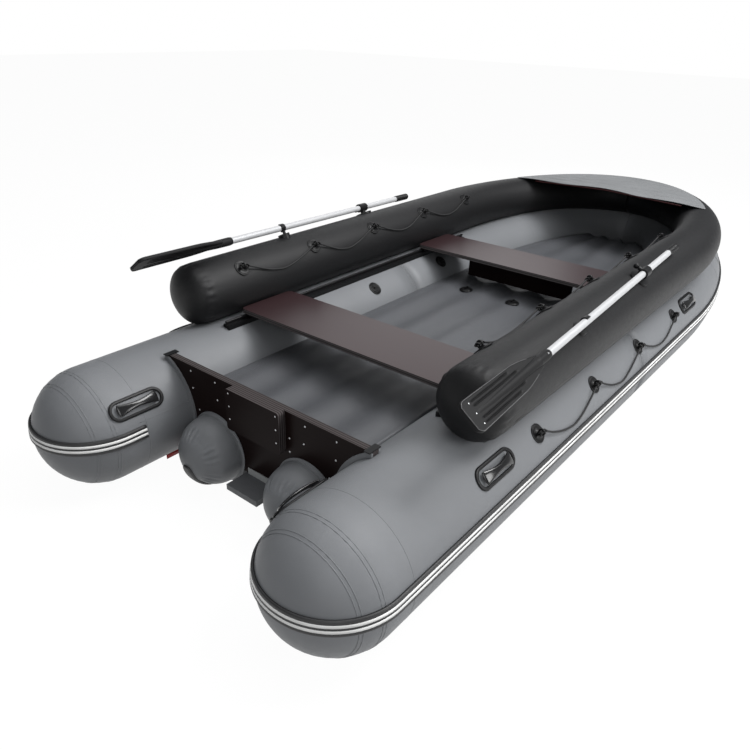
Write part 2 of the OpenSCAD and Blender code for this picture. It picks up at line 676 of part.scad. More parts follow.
// Carrying handles: an oval base with a rim and a grip bar over a shallow well
handle_rim = 10;
handle_h = 14;
grip_bar_r = 10;
grip_up = 30;
module oval(l, w) {
    square([l - w, w], center = true);
    for (x = [-1, 1]) translate([x * (l - w) / 2, 0]) circle(w / 2);
}
module handle() translate([0, 0, seat_gap]) {
    difference() {
        linear_extrude(handle_h) oval(handle_len, handle_w);
        translate([0, 0, 5]) linear_extrude(handle_h) oval(handle_len - 2 * handle_rim, handle_w - 2 * handle_rim);
    }
    for (x = [-1, 1]) translate([x * (handle_len / 2 - handle_rim - 14), 0, 4])
        cylinder(r = grip_bar_r, h = grip_up - 4);
    translate([-handle_len / 2 + handle_rim + 14, 0, grip_up]) rotate([0, 90, 0])
        cylinder(r = grip_bar_r, h = handle_len - 2 * handle_rim - 28);
    for (x = [-1, 1]) translate([x * (handle_len / 2 - handle_rim - 14), 0, grip_up]) sphere(grip_bar_r);
}
handle_angle = 39;
stern_handle_angle = 146;
stern_handle_at = 318;
stern_handle_tilt = -0.8;
handle_stations = [860, 2980];
module handles() color("#1e1e20") for (s = [0, 1]) mirror([0, s, 0]) {
    on_tube(tube_r, stern_handle_angle) rotate([0, stern_handle_tilt, 0])
        translate([stern_handle_at - tube_r, 0, 0]) handle();
    for (x = handle_stations) on_tube(x, handle_angle) handle();
}

// Air valves on the inner sides of the tubes: a flanged seat and a cap that turns in it
valve_angle = 130;
valve_stations = [1880, 2530];
well_r = 22;
valve_h = 10;
module valve_body() translate([0, 0, seat_gap]) difference() {
    union() {
        cylinder(r = valve_r, h = 4);
        cylinder(r = valve_r - 8, h = valve_h);
    }
    translate([0, 0, 2]) cylinder(r = well_r, h = valve_h);
}
module valve_bodies() color("#222225") for (s = [0, 1], x = valve_stations) mirror([0, s, 0]) on_tube(x, valve_angle) valve_body();
module valve_cap() translate([0, 0, seat_gap + 2 + seat_gap]) {
    cylinder(r = well_r - seat_gap, h = 9);
    translate([-16, -4, 8]) cube([32, 8, 8]);
}
module tube_cap(i) color("#19191b") on_tube(valve_stations[i], valve_angle) valve_cap();

// Floor valves, one in a valley and one on a crown of the floor
floor_valves = [[2380, 0.5], [2350, -0.25]];
valve_clear = 0.347;
floor_valve_up = valve_clear + valley * pow(sin(90 * floor_crowns * valve_r / inner_half(keel_from, floor_low)), 2);
function floor_at(u) = floor_top - valley * (1 - pow(sin(90 * floor_crowns * (u + 1)), 2));
module on_floor(i) translate([st(floor_valves[i][0]), floor_valves[i][1] * inner_half(keel_from, floor_low),
    floor_at(floor_valves[i][1]) + (i == 0 ? floor_valve_up : 0)]) children();
module floor_valve_bodies() color("#222225") for (i = [0, 1]) on_floor(i) valve_body();
module floor_cap(i) color("#19191b") on_floor(i) valve_cap();

// Tow rings on patches at the bow
tow_angle = 46;
tow_wire = 4;
staple_r = 12;
ring_hang = staple_r - 2 * tow_wire - 0.4;
module at_bow(s) {
    f = bulwark_frame(tow_angle);
    p = polar(f, bulwark_radius(tow_angle), 0);
    mirror([0, s, 0]) translate(p) rotate([0, 0, atan2(f[1].y, f[1].x)]) rotate([0, 90, 0]) children();
}
module tow_patches() color("#1b1b1d") for (s = [0, 1]) at_bow(s) {
    translate([0, 0, 0.5]) cylinder(r1 = 44, r2 = 36, h = 5);
    translate([0, 0, 5 + staple_r]) rotate([90, 0, 0]) rotate_extrude() translate([staple_r, 0]) circle(tow_wire);
}
// A D of wire: its straight bar turns in the staple, and the half round hangs below
module tow_ring(s) color("#b9bcc0") at_bow(s) translate([ring_hang, 0, 5 + staple_r]) {
    translate([0, -ring_r, 0]) rotate([-90, 0, 0]) cylinder(r = tow_wire, h = 2 * ring_r);
    for (y = [-1, 1]) translate([0, y * ring_r, 0]) sphere(tow_wire);
    intersection() {
        rotate_extrude() translate([ring_r, 0]) circle(tow_wire);
        translate([0, -2 * ring_r, -ring_r]) cube([2 * ring_r, 4 * ring_r, 2 * ring_r]);
    }
}

chamber_aft();  // chamber_port_aft
starboard() chamber_aft();  // chamber_starboard_aft
chamber_fore();  // chamber_port_fore
starboard() chamber_fore();  // chamber_starboard_fore
bulwark();  // bulwark_port
starboard() bulwark();  // bulwark_starboard
rub_strake();
strake_stripes();
floor();
keel_tube();  // keel_tube_port
starboard() keel_tube();  // keel_tube_starboard
bottom_sheet();
pod();  // pod_port
starboard() pod();  // pod_starboard
keel_guards();
tunnel_flap();
splash_plate();
stern_gussets();
transom_board();
motor_pad();
transom_holders();
holder_caps();
transom_screws();
seat_rails();
rear_seat_board();
rear_seat_slides();
front_seat_board();
front_seat_slides();
front_seat_panel();
canopy();
rowlock_bases();
rowlock_collar(1);  // rowlock_collar_port
rowlock_collar(-1);  // rowlock_collar_starboard
rowlock_knob(1);  // rowlock_knob_port
rowlock_knob(-1);  // rowlock_knob_starboard
oar_shaft(1);  // oar_shaft_port
oar_shaft(-1);  // oar_shaft_starboard
oar_blade(1);  // oar_blade_port
oar_blade(-1);  // oar_blade_starboard
oar_grip(1);  // oar_grip_port
oar_grip(-1);  // oar_grip_starboard
oar_clips();
lifeline_eyes();
lifeline_outer();  // lifeline_port_outer
starboard() lifeline_outer();  // lifeline_starboard_outer
lifeline_inner();  // lifeline_port_inner
starboard() lifeline_inner();  // lifeline_starboard_inner
handles();
valve_bodies();
tube_cap(0);  // valve_cap_port_aft
tube_cap(1);  // valve_cap_port_fore
starboard() tube_cap(0);  // valve_cap_starboard_aft
starboard() tube_cap(1);  // valve_cap_starboard_fore
floor_valve_bodies();
floor_cap(0);  // floor_valve_cap_port
floor_cap(1);  // floor_valve_cap_starboard
tow_patches();
tow_ring(0);  // tow_ring_port
tow_ring(1);  // tow_ring_starboard
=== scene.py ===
from math import asin, cos, pi, radians, sin, sqrt

import bmesh
import bpy
from mathutils import Matrix, Vector


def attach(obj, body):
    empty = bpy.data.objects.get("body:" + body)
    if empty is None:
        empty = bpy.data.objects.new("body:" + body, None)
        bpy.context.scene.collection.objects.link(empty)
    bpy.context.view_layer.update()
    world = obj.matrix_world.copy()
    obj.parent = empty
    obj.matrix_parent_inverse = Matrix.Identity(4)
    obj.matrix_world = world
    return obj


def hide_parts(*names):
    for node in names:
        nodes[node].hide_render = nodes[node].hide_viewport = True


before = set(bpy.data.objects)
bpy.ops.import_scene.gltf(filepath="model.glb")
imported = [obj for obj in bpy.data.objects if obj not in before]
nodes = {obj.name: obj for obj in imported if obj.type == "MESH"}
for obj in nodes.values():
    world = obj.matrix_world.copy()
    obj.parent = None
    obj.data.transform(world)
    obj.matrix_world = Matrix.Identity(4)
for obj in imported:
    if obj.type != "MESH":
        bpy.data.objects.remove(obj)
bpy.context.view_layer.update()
scene = bpy.context.scene
scene.view_settings.view_transform = "Standard"

# The camera stands astern on the starboard side and looks down along the boat.
# It has a moderately wide lens, and its frame is shifted a little up and to the right.
yaw, pitch, roll = radians(38.9), radians(30.0), radians(1.7)
look = Vector((cos(pitch) * cos(yaw), cos(pitch) * sin(yaw), -sin(pitch)))
level = look.cross(Vector((0, 0, 1))).normalized()
over = level.cross(look)
right = level * cos(roll) + over * sin(roll)
upward = over * cos(roll) - level * sin(roll)
camera_data = bpy.data.cameras.new("camera")
camera_data.sensor_width = 36
camera_data.lens = 32.155
camera_data.shift_x = 0.0227
camera_data.shift_y = 0.04
camera = bpy.data.objects.new("camera", camera_data)
turned = Matrix((right, upward, -look)).transposed().to_4x4()
camera.matrix_world = Matrix.Translation((-3.302, -1.655, 1.722)) @ turned
scene.collection.objects.link(camera)
scene.camera = camera

# The main tube is the hull: coated cloth, welded into a U and blown up hard in four chambers.
# Each leg ends astern in a sewn dome, and the bow rises and closes in a half oval.
length, tube_r, axis_y = 4.8, 0.247, 0.653
bow_start, bow_rise, sheer_start, baffle_at = 3.1, 0.112, 3.0, 2.2
axis_tip = length - tube_r
bow_len = axis_tip - bow_start
fore, outboard, up = Vector((1, 0, 0)), Vector((0, 1, 0)), Vector((0, 0, 1))
hands = ((1, "port"), (-1, "starboard"))


def at(x):
    return x - length / 2


def lift(x):
    return bow_rise * max(0.0, (x - sheer_start) / (axis_tip - sheer_start)) ** 2


def main_side(x):
    return Vector((at(x), axis_y, tube_r + lift(x))), outboard


def main_bow(a):
    x = bow_start + bow_len * sin(a)
    out = Vector((sin(a) / bow_len, cos(a) / axis_y, 0)).normalized()
    return Vector((at(x), axis_y * cos(a), tube_r + lift(x))), out


def outward(where, a):
    return where[1] * cos(a) + up * sin(a)


def polar(where, r, a):
    return where[0] + outward(where, a) * r


def spread(a, b, n):
    return [a + (b - a) * i / n for i in range(n + 1)]


def turns(n):
    return [2 * pi * i / n for i in range(n)]


def hoop(where, r, count=96, pleat=0.0, folds=0):
    """A ring round a tube, waved where the cloth is pleated."""
    return [polar(where, r + pleat * cos(folds * t) * (1.3 + sin(5 * t + 1)) / 2.3, t) for t in turns(count)]


def ripple(degrees, start, stop, depth):
    """The depth of gathered cloth between two angles, none at either and most half-way."""
    return depth * sin(pi * (degrees - start) / (stop - start)) if start < degrees < stop else 0.0


def new_piece(name, bm):
    mesh = bpy.data.meshes.new(name)
    bm.to_mesh(mesh)
    bm.free()
    piece = bpy.data.objects.new(name, mesh)
    scene.collection.objects.link(piece)
    return piece


def lofts(name, parts):
    """One piece from several lofts, each a list of rings with a flag for a loop of rings."""
    bm = bmesh.new()
    flat = set()
    for rings, loop in parts:
        rows = [[bm.verts.new(p) for p in ring] for ring in rings]
        n = len(rows[0])
        pairs = list(zip(rows, rows[1:])) + ([(rows[-1], rows[0])] if loop else [])
        for a, b in pairs:
            for i in range(n):
                k = (i + 1) % n
                bm.faces.new((a[i], b[i], b[k], a[k]))
        if not loop:
            flat |= {bm.faces.new(rows[0]), bm.faces.new(rows[-1])}
    bmesh.ops.recalc_face_normals(bm, faces=bm.faces)
    for f in bm.faces:
        f.smooth = f not in flat
    return new_piece(name, bm)


def mirror(p, side=-1):
    return Vector((p.x, side * p.y, p.z))


def to_side(rings, side):
    return [[mirror(p, side) for p in ring] for ring in rings]


def feed(tree, node, values):
    """Sets each input to a number or a colour, or links it to a socket."""
    for key, value in values.items():
        if isinstance(value, bpy.types.NodeSocket):
            tree.links.new(value, node.inputs[key])
        else:
            node.inputs[key].default_value = value


def add_node(tree, kind, values=(), **settings):
    node = tree.nodes.new(kind if "Node" in kind else f"ShaderNode{kind}")
    for name, setting in settings.items():
        setattr(node, name, setting)
    feed(tree, node, dict(values))
    return node


def maths(tree, operation, *values):
    return add_node(tree, "Math", enumerate(values), operation=operation).outputs[0]


def noise(tree, scale, detail, stretch=None):
    place = add_node(tree, "TexCoord").outputs["Object"]
    if stretch:
        place = add_node(tree, "Mapping", {"Vector": place, "Scale": stretch}).outputs["Vector"]
    return add_node(tree, "TexNoise", {"Vector": place, "Scale": scale, "Detail": detail}).outputs["Fac"]


def remap(tree, value, low, high, start=0.0, stop=1.0):
    limits = {"From Min": start, "From Max": stop, "To Min": low, "To Max": high}
    return add_node(tree, "MapRange", {"Value": value, **limits}).outputs["Result"]


def scaled(tree, colour, factor):
    return add_node(tree, "VectorMath", {0: colour, "Scale": factor}, operation="SCALE").outputs[0]


def bump(tree, height, strength, distance, invert=False):
    values = {"Height": height, "Strength": strength, "Distance": distance}
    return add_node(tree, "Bump", values, invert=invert).outputs["Normal"]


def new_group(name, inputs):
    """A shader group for a surface, with the sockets that feed it and the node it fills."""
    group = bpy.data.node_groups.new(name, "ShaderNodeTree")
    outputs = {"Colour": "Color", "Roughness": "Float", "Height": "Float"}
    for way, sockets in (("INPUT", inputs), ("OUTPUT", outputs)):
        for label, kind in sockets.items():
            group.interface.new_socket(label, in_out=way, socket_type=f"NodeSocket{kind}")
    return group, group.nodes.new("NodeGroupInput").outputs, group.nodes.new("NodeGroupOutput")


cloth_inputs = {"Colour": "Color", "Mottle": "Float", "Gloss": "Float", "Threads": "Float"}
cloth_group, given, result = new_group("coated_cloth", cloth_inputs)
tree = cloth_group
clouds = remap(tree, noise(tree, 2.6, 5), -1, 1, 0.3, 0.7)
shade = maths(tree, "MULTIPLY_ADD", clouds, given["Mottle"], 1)
scuff = maths(tree, "MULTIPLY_ADD", noise(tree, 38, 6), 0.14, given["Gloss"])
weave = {"Vector": add_node(tree, "TexCoord").outputs["Object"], "Scale": given["Threads"]}
warp, weft = [
    add_node(tree, "TexWave", weave, bands_direction=way).outputs["Fac"] for way in ("X", "DIAGONAL")
]
feed(tree, result, {
    "Colour": scaled(tree, given["Colour"], shade),
    "Roughness": scuff,
    "Height": maths(tree, "MULTIPLY", warp, weft),
})


def new_finish(name):
    material = bpy.data.materials.new(name)
    material.use_nodes = True
    return material, material.node_tree, material.node_tree.nodes["Principled BSDF"]


def group_finish(name, group, values, relief, depth, shine):
    """A material with its colour, roughness and relief from a shader group."""
    material, tree, surface = new_finish(name)
    made = add_node(tree, "Group", values, node_tree=group).outputs
    feed(tree, surface, {
        "Base Color": made["Colour"],
        "Roughness": made["Roughness"],
        "Specular IOR Level": shine,
        "Normal": bump(tree, made["Height"], relief, depth),
    })
    return material


def cloth_finish(name, colour, mottle, gloss, threads, relief, shine=0.5):
    values = {"Colour": (*colour, 1), "Mottle": mottle, "Gloss": gloss, "Threads": threads}
    return group_finish(name, cloth_group, values, relief, 0.0004, shine)


def dress(piece, material, body="hull", stands_for=()):
    piece.data.materials.clear()
    piece.data.materials.append(material)
    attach(piece, body)
    if stands_for:
        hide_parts(*stands_for)
    return piece


grey_cloth = cloth_finish("grey_coated_cloth", (0.160, 0.166, 0.175), 0.05, 0.40, 700, 0.25, 0.34)
dome_gathers, dome_folds = (48, 90, 0.0011), 40
dome_rings = []
for degrees in (2, 5, 9, 14, 19, 24, 29, 34, 39, 44, 50, 56, 62, 68, 74, 79, 84, 88):
    t = radians(degrees)
    pucker = ripple(degrees, *dome_gathers)
    dome_place = main_side(tube_r - tube_r * cos(t))
    dome_rings.append(hoop(dome_place, tube_r * sin(t), pleat=pucker, folds=dome_folds))
aft_rings = dome_rings + [hoop(main_side(x), tube_r) for x in spread(tube_r + 0.004, baffle_at, 18)]
fore_rings = [hoop(main_side(x), tube_r) for x in spread(baffle_at, bow_start - 0.03, 9)]
fore_rings += [hoop(main_bow(a), tube_r) for a in spread(0, pi / 2, 44)]
for side, word in hands:
    for rings, end in ((aft_rings, "aft"), (fore_rings, "fore")):
        chamber = lofts(f"chamber_{word}_{end}_skin", [(to_side(rings, side), False)])
        dress(chamber, grey_cloth, stands_for=[f"chamber_{word}_{end}"])

# Weld seams show as fine raised double lines where the panels of the main tube overlap.
# They ring the stern domes and the tube's panels, and run along the inner side to the transom.
seam_cloth = cloth_finish("welded_seam", (0.150, 0.156, 0.165), 0.03, 0.36, 700, 0.2)
seam_h, seam_w, fine_seam_w = 0.0005, 0.003, 0.0022
inner_seam, inner_seam_from, inner_seam_to = radians(163), 0.3, 0.538
dome_seams, bow_seams = (58, 61, 76, 79), (22, 43, 62)
stern_seam, overlap_half = 0.33, 0.012


def seam_section(point, out, across, width):
    half = across.normalized() * width / 2
    rise = out.normalized() * seam_h
    return [point - half, point - half * 0.7 + rise, point + half * 0.7 + rise, point + half]


def seam_hoop(where, r, width, tilt=0.0):
    rings = []
    for t in turns(120):
        out = outward(where, t).normalized()
        along = out.cross(where[1].cross(up).normalized()).cross(out)
        rings.append(seam_section(where[0] + out * r, out, along + out * tilt, width))
    return rings


def seam_along(places, a, width):
    """A seam along a tube at one angle, from (place, radius) pairs."""
    return [seam_section(polar(w, r, a), outward(w, a), outward(w, a + pi / 2), width) for w, r in places]


def both_sides(parts):
    return [(to_side(rings, side), loop) for side in (1, -1) for rings, loop in parts]


seams = []
for degrees in dome_seams:
    t = radians(degrees)
    dome_place, dome_r = main_side(tube_r - tube_r * cos(t)), tube_r * sin(t) + 0.0002
    seams.append((seam_hoop(dome_place, dome_r, fine_seam_w, 1 / max(0.2, sin(t)) - 1), True))
for x in (stern_seam, baffle_at - overlap_half, baffle_at + overlap_half):
    seams.append((seam_hoop(main_side(x), tube_r, seam_w), True))
for degrees in bow_seams:
    seams.append((seam_hoop(main_bow(radians(degrees)), tube_r, seam_w), True))
inner_places = [(main_side(x), tube_r) for x in spread(inner_seam_from, inner_seam_to, 8)]
seams.append((seam_along(inner_places, inner_seam, seam_w), False))
dress(lofts("weld_seams", both_sides(seams)), seam_cloth)

# The bulwark is a second, thinner tube of black coated cloth, welded along the top of the main tube.
# Its aft ends are flattened caps, puckered at the seam, and it narrows a little towards the bow.
# A welded tape edges its skirt, and another makes the V-shaped patch on each bow shoulder.
bulwark_r, bulwark_bow_r = 0.140, 0.122
bulwark_out, bulwark_sink, bulwark_rise, press_gap, press_top = 0.080, 0.007, 0.015, 0.0006, 0.62
bulwark_y = axis_y + bulwark_out
bulwark_z = tube_r + sqrt((tube_r + bulwark_r - bulwark_sink) ** 2 - bulwark_out**2)
bulwark_from, bulwark_bend, bulwark_behind = 0.91, bow_start - 0.05, 0.480
bulwark_len = length - bulwark_behind - bulwark_bend
axis_line = [main_side(x)[0] for x in spread(sheer_start - 0.4, bow_start, 40)]
axis_line += [main_bow(a)[0] for a in spread(0, pi / 2, 140)]


def bulwark_side(x):
    return Vector((at(x), bulwark_y, bulwark_z)), outboard


def bulwark_bow(a):
    x = bulwark_bend + bulwark_len * sin(a)
    centre = Vector((at(x), bulwark_y * cos(a), bulwark_z + bulwark_rise * sin(a) ** 2))
    return centre, Vector((sin(a) / bulwark_len, cos(a) / bulwark_y, 0)).normalized()


def bulwark_radius(a):
    return bulwark_r + (bulwark_bow_r - bulwark_r) * sin(a)


def pressed(p):
    """A point of the bulwark, moved out of the main tube where the two press together."""
    if p.z > press_top:
        return p
    if p.x < at(sheer_start - 0.2):
        core = Vector((p.x, axis_y, tube_r))
    else:
        core = min(axis_line, key=lambda q: (p - q).length_squared)
    d, clear = (p - core).length, tube_r + press_gap
    return core + (p - core) * (clear / d) if d < clear else p


bulwark_sides, cap_folds, cap_gather, gather_len = 120, 24, 0.0030, 0.032
gather_from, gather_to = 64, 88
cap_depth = 0.62 * bulwark_r
cap_seam = bulwark_from - bulwark_r + cap_depth
bulwark_rings = []
for degrees in (3, 8, 14, 20, 26, 32, 38, 44, 50, 55, 60, 64, 68, 71, 74, 77, 80, 83, 86, 88):
    t = radians(degrees)
    gather = cap_gather * sin(pi / 2 * max(0, degrees - gather_from) / (gather_to - gather_from))
    cap_place, cap_r = bulwark_side(cap_seam - cap_depth * cos(t)), (bulwark_r - gather) * sin(t)
    bulwark_rings.append(hoop(cap_place, cap_r, bulwark_sides, gather, cap_folds))
for past in (0.003, 0.008, 0.014, 0.020, 0.026, gather_len):
    gather = cap_gather * (1 - past / gather_len) ** 1.5
    seam_place = bulwark_side(cap_seam + past)
    bulwark_rings.append(hoop(seam_place, bulwark_r - gather, bulwark_sides, gather, cap_folds))
bulwark_places = [(bulwark_side(x), bulwark_r) for x in spread(bulwark_from, bulwark_bend - 0.05, 22)]
bow_places = [(bulwark_bow(a), bulwark_radius(a)) for a in spread(0, pi / 2, 44)]
bulwark_rings += [hoop(w, r, bulwark_sides) for w, r in bulwark_places + bow_places]
bulwark_rings = [[pressed(p) for p in ring] for ring in bulwark_rings]
black_cloth = cloth_finish("black_coated_cloth", (0.0085, 0.0085, 0.0092), 0.10, 0.42, 700, 0.3, 0.27)
for side, word in hands:
    tube = lofts(f"bulwark_{word}_skin", [(to_side(bulwark_rings, side), False)])
    dress(tube, black_cloth, stands_for=[f"bulwark_{word}"])
tape_w, wide_tape_w, tape_angle, patch_steps = 0.007, 0.013, radians(-17), 6
tape_places = bulwark_places + [(bulwark_bow(a), bulwark_radius(a)) for a in spread(0, 1.3, 36)]
patch_corners = [(27.5, 64), (31, 30), (34, 8), (35.5, 30), (38, 64)]
patch_line = []
for (a0, b0), (a1, b1) in zip(patch_corners, patch_corners[1:]):
    patch_line += list(zip(spread(a0, a1, patch_steps), spread(b0, b1, patch_steps)))[:-1]
patch_line.append(patch_corners[-1])


def on_bow(a, b, off=0.0):
    return polar(main_bow(radians(a)), tube_r + off, radians(b))


patch_tape = []
for i, (a, b) in enumerate(patch_line):
    run = on_bow(*patch_line[min(i + 1, len(patch_line) - 1)]) - on_bow(*patch_line[max(i - 1, 0)])
    out = outward(main_bow(radians(a)), radians(b))
    width = tape_w if i < 2 * patch_steps else wide_tape_w
    patch_tape.append(seam_section(on_bow(a, b, 0.0004), out, run.cross(out), width))
tape_cloth = cloth_finish("black_seam", (0.017, 0.017, 0.018), 0.05, 0.36, 700, 0.2, 0.4)
tapes = [(seam_along(tape_places, tape_angle, tape_w), False), (patch_tape, False)]
dress(lofts("bulwark_seams", both_sides(tapes)), tape_cloth)

# The rubbing strake is an extruded rubber strip with a lip along each edge, glued round the hull.
# It starts square on the inner side of one stern end and runs round the bow to the other.
strake_up, strake_from = 0.031, 0.32
strake_mid = asin(strake_up / tube_r)


def stern_turn(a):
    return Vector((at(tube_r), axis_y, tube_r)), Vector((-sin(a), -cos(a), 0))


strake_line = [(Vector((at(x), axis_y, tube_r)), -outboard) for x in spread(strake_from, tube_r + 0.01, 4)]
strake_line += [stern_turn(a) for a in spread(0, pi, 40)]
strake_line += [main_side(x) for x in spread(tube_r + 0.06, bow_start - 0.05, 28)]
strake_line += [main_bow(a) for a in spread(0, pi / 2, 44)]
strake_line += [(mirror(c), mirror(n)) for c, n in reversed(strake_line[:-1])]


def along_strake(section):
    """Rings of a strip, from (degrees from its middle, millimetres from the tube) pairs."""
    return [[polar(w, tube_r + r / 1000, strake_mid + radians(a)) for a, r in section] for w in strake_line]


half_strip = [(3.6, 8.7), (4.2, 9.4), (5.3, 9.6), (6.0, 8.4), (6.45, 6.4), (6.5, 0.8)]
strip_section = [(-a, r) for a, r in reversed(half_strip)] + [(0, 8.7)] + half_strip + [(0, 0.8)]
rubber, tree, surface = new_finish("strake_rubber")
specks = noise(tree, 160, 4)
feed(tree, surface, {
    "Base Color": (0.016, 0.016, 0.017, 1),
    "Roughness": remap(tree, specks, 0.38, 0.62),
    "Normal": bump(tree, specks, 0.25, 0.0004),
})
strake = lofts("rubbing_strake", [(along_strake(strip_section), False)])
dress(strake, rubber, stands_for=["rub_strake"])

# Two white rubber stripes are moulded into the strake's face along its whole length.
# They stand a hair proud of it and are a little greyed by handling.
white_rubber, tree, surface = new_finish("stripe_rubber")


def ramp(tree, value, first, last, start=0.0, stop=1.0):
    node = add_node(tree, "ValToRGB", {"Fac": value})
    for end, position, colour in zip(node.color_ramp.elements, (start, stop), (first, last)):
        end.position = position
        end.color = (*colour, 1)
    return node.outputs["Color"]


greying = ramp(tree, noise(tree, 9, 7), (0.66, 0.66, 0.65), (0.82, 0.82, 0.81), 0.35, 0.6)
feed(tree, surface, {"Base Color": greying, "Roughness": 0.4})
stripe_off, stripe_section = 2.1, ((-1.2, 8.4), (-1.1, 9.5), (1.1, 9.5), (1.2, 8.4))
stripes = [
    (along_strake([(m + a, r) for a, r in stripe_section]), False) for m in (-stripe_off, stripe_off)
]
dress(lofts("white_stripes", stripes), white_rubber, stands_for=["strake_stripes"])

# Two keel tubes of the hull's cloth run under the floor, joined by the flat bottom sheet.
# They keep their CAD shapes, which are plain cylinders with round noses.
floor_cloth = cloth_finish("floor_cloth", (0.072, 0.075, 0.082), 0.06, 0.38, 620, 0.3)
for name in ("keel_tube_port", "keel_tube_starboard"):
    dress(nodes[name], grey_cloth)
dress(nodes["bottom_sheet"], floor_cloth)

# The pods carry the keel tubes on behind the transom, each a half ball of the hull's cloth.
# A nose panel is gathered into the side, a collar is welded to the board, and a rubber guard is glued below.
pod_r, pod_y, pod_z, transom_at = 0.146, 0.250, 0.162, 0.55
pod_sides, pod_folds, pod_depth, pod_gathers = 264, 26, 0.172, (35, 62, 0.0040)
pod_seam_at, pod_seam_sunk, collar_seam_at = 46, 0.0012, (0.011, 0.022)
collar_profile = ((0.012, 0), (0.006, 0.001), (0.0042, 0.003), (0.0038, 0.009), (0.003, 0.0099), (0, 0.010))
pod_back = transom_at - 0.0003
pod_mid = pod_back - pod_depth + pod_r


def pod_place(x):
    return Vector((at(x), pod_y, pod_z)), outboard


pod_rings = []
for degrees in (3, 8, 14, 20, 26, 31, 35, 38, 41, 44, 46, 48, 51, 54, 58, 62, 67, 73, 79, 85, 90):
    t = radians(degrees)
    gather = ripple(degrees, *pod_gathers)
    groove = pod_seam_sunk if degrees == pod_seam_at else 0.0
    nose_r = (pod_r - gather - groove) * sin(t)
    pod_rings.append(hoop(pod_place(pod_mid - pod_r * cos(t)), nose_r, pod_sides, gather, pod_folds))
for x, r in collar_profile:
    pod_rings.append(hoop(pod_place(pod_back - x), pod_r + r, pod_sides))
collar_seams = [(seam_hoop(pod_place(pod_back - x), pod_r, fine_seam_w), True) for x in collar_seam_at]
for side, word in hands:
    pod = lofts(f"pod_{word}_skin", [(to_side(pod_rings, side), False)])
    dress(pod, grey_cloth, stands_for=[f"pod_{word}"])
dress(lofts("pod_collar_seams", both_sides(collar_seams)), seam_cloth)
guard_h, guard_w = 0.0078, 12
guard_line = [(0.020, 0, guard_w - 1), (0.012, 0, guard_w)]
guard_line += [(0, degrees, guard_w) for degrees in spread(0, 54, 12) + [60, 66, 72]]
guard_line += [(0, 77, 11.4), (0, 81, 10), (0, 84, 8), (0, 86, 5)]


def round_pod(ahead, t, w, r):
    x = at(pod_mid) + ahead - r * sin(t) * cos(w)
    return Vector((x, pod_y + r * sin(w), pod_z - r * cos(t) * cos(w)))


guard_rings = []
for ahead, degrees, half in guard_line:
    t, across = radians(degrees), [(k, radians(half * k)) for k in spread(-1, 1, 12)]
    face = [round_pod(ahead, t, w, pod_r + 0.0006 + guard_h * sqrt(1 - k**6)) for k, w in across]
    back = [round_pod(ahead, t, w, pod_r + 0.0004) for k, w in reversed(across)]
    guard_rings.append(face + back)
dress(lofts("pod_guards", both_sides([(guard_rings, False)])), rubber, stands_for=["keel_guards"])

# In the tunnel between the pods hang a stiff grey flap and a pale splash plate.
# Red cloth gussets close the hull beside the pods, and a hem of the same cloth runs aft under each tube.
flap_cloth = cloth_finish("flap_cloth", (0.085, 0.088, 0.094), 0.06, 0.45, 620, 0.3)
dress(nodes["tunnel_flap"], flap_cloth)
pale_plate = cloth_finish("pale_plate", (0.36, 0.37, 0.37), 0.06, 0.5, 300, 0.1)
dress(nodes["splash_plate"], pale_plate)
red_cloth = cloth_finish("red_cloth", (0.30, 0.006, 0.006), 0.08, 0.4, 700, 0.3)
dress(nodes["stern_gussets"], red_cloth)
hem_from, hem_to = 0.470, 0.5462
hem_section = ((0.529, 0.008), (0.5305, 0.008), (0.5305, 0.0338), (0.529, 0.0344))
hem = [[Vector((at(x), y, z)) for y, z in hem_section] for x in (hem_from, hem_to)]
dress(lofts("gusset_hems", both_sides([(hem, False)])), red_cloth)

# The transom is a thick board of film-faced plywood with a doubled pad where the motor clamps on.
# Its dark film is smooth and nearly matt, and the sawn edges show the plies.
# Cloth holders with plastic end caps fix the board's ends to the tubes.
ply_inputs = {
    "Film": "Color", "Pale ply": "Color", "Dark ply": "Color",
    "Through": "Vector", "Plies": "Float", "Streaks": "Float",
}
ply_group, given, result = new_group("ply_edges", ply_inputs)
tree = ply_group
facing = add_node(tree, "NewGeometry").outputs["True Normal"]
place = add_node(tree, "TexCoord").outputs["Object"]
across, depth = [
    add_node(tree, "VectorMath", {0: way, 1: given["Through"]}, operation="DOT_PRODUCT").outputs["Value"]
    for way in (facing, place)
]


def mixed(tree, factor, first, second):
    return add_node(tree, "Mix", {"Factor": factor, 6: first, 7: second}, data_type="RGBA").outputs[2]


edge = maths(tree, "LESS_THAN", maths(tree, "ABSOLUTE", across), 0.6)
layer = maths(tree, "FRACT", maths(tree, "MULTIPLY", depth, given["Plies"]))
plies = mixed(tree, maths(tree, "GREATER_THAN", layer, 0.5), given["Pale ply"], given["Dark ply"])
grain = noise(tree, 14, 6, (6, 0.5, 6))
streak = maths(tree, "MULTIPLY_ADD", remap(tree, grain, -1, 1, 0.3, 0.7), given["Streaks"], 1)
film = scaled(tree, given["Film"], streak)
dry = maths(tree, "MULTIPLY_ADD", edge, 0.4, 0.3)
feed(tree, result, {
    "Colour": mixed(tree, edge, film, plies),
    "Roughness": maths(tree, "MULTIPLY_ADD", grain, 0.05, dry),
    "Height": grain,
})


def plywood_finish(name, film_colour, through, streaks, relief, shine):
    values = {
        "Film": (*film_colour, 1), "Pale ply": (0.075, 0.066, 0.066, 1), "Dark ply": (0.024, 0.020, 0.020, 1),
        "Through": through, "Plies": 95, "Streaks": streaks,
    }
    return group_finish(name, ply_group, values, relief, 0.0005, shine)


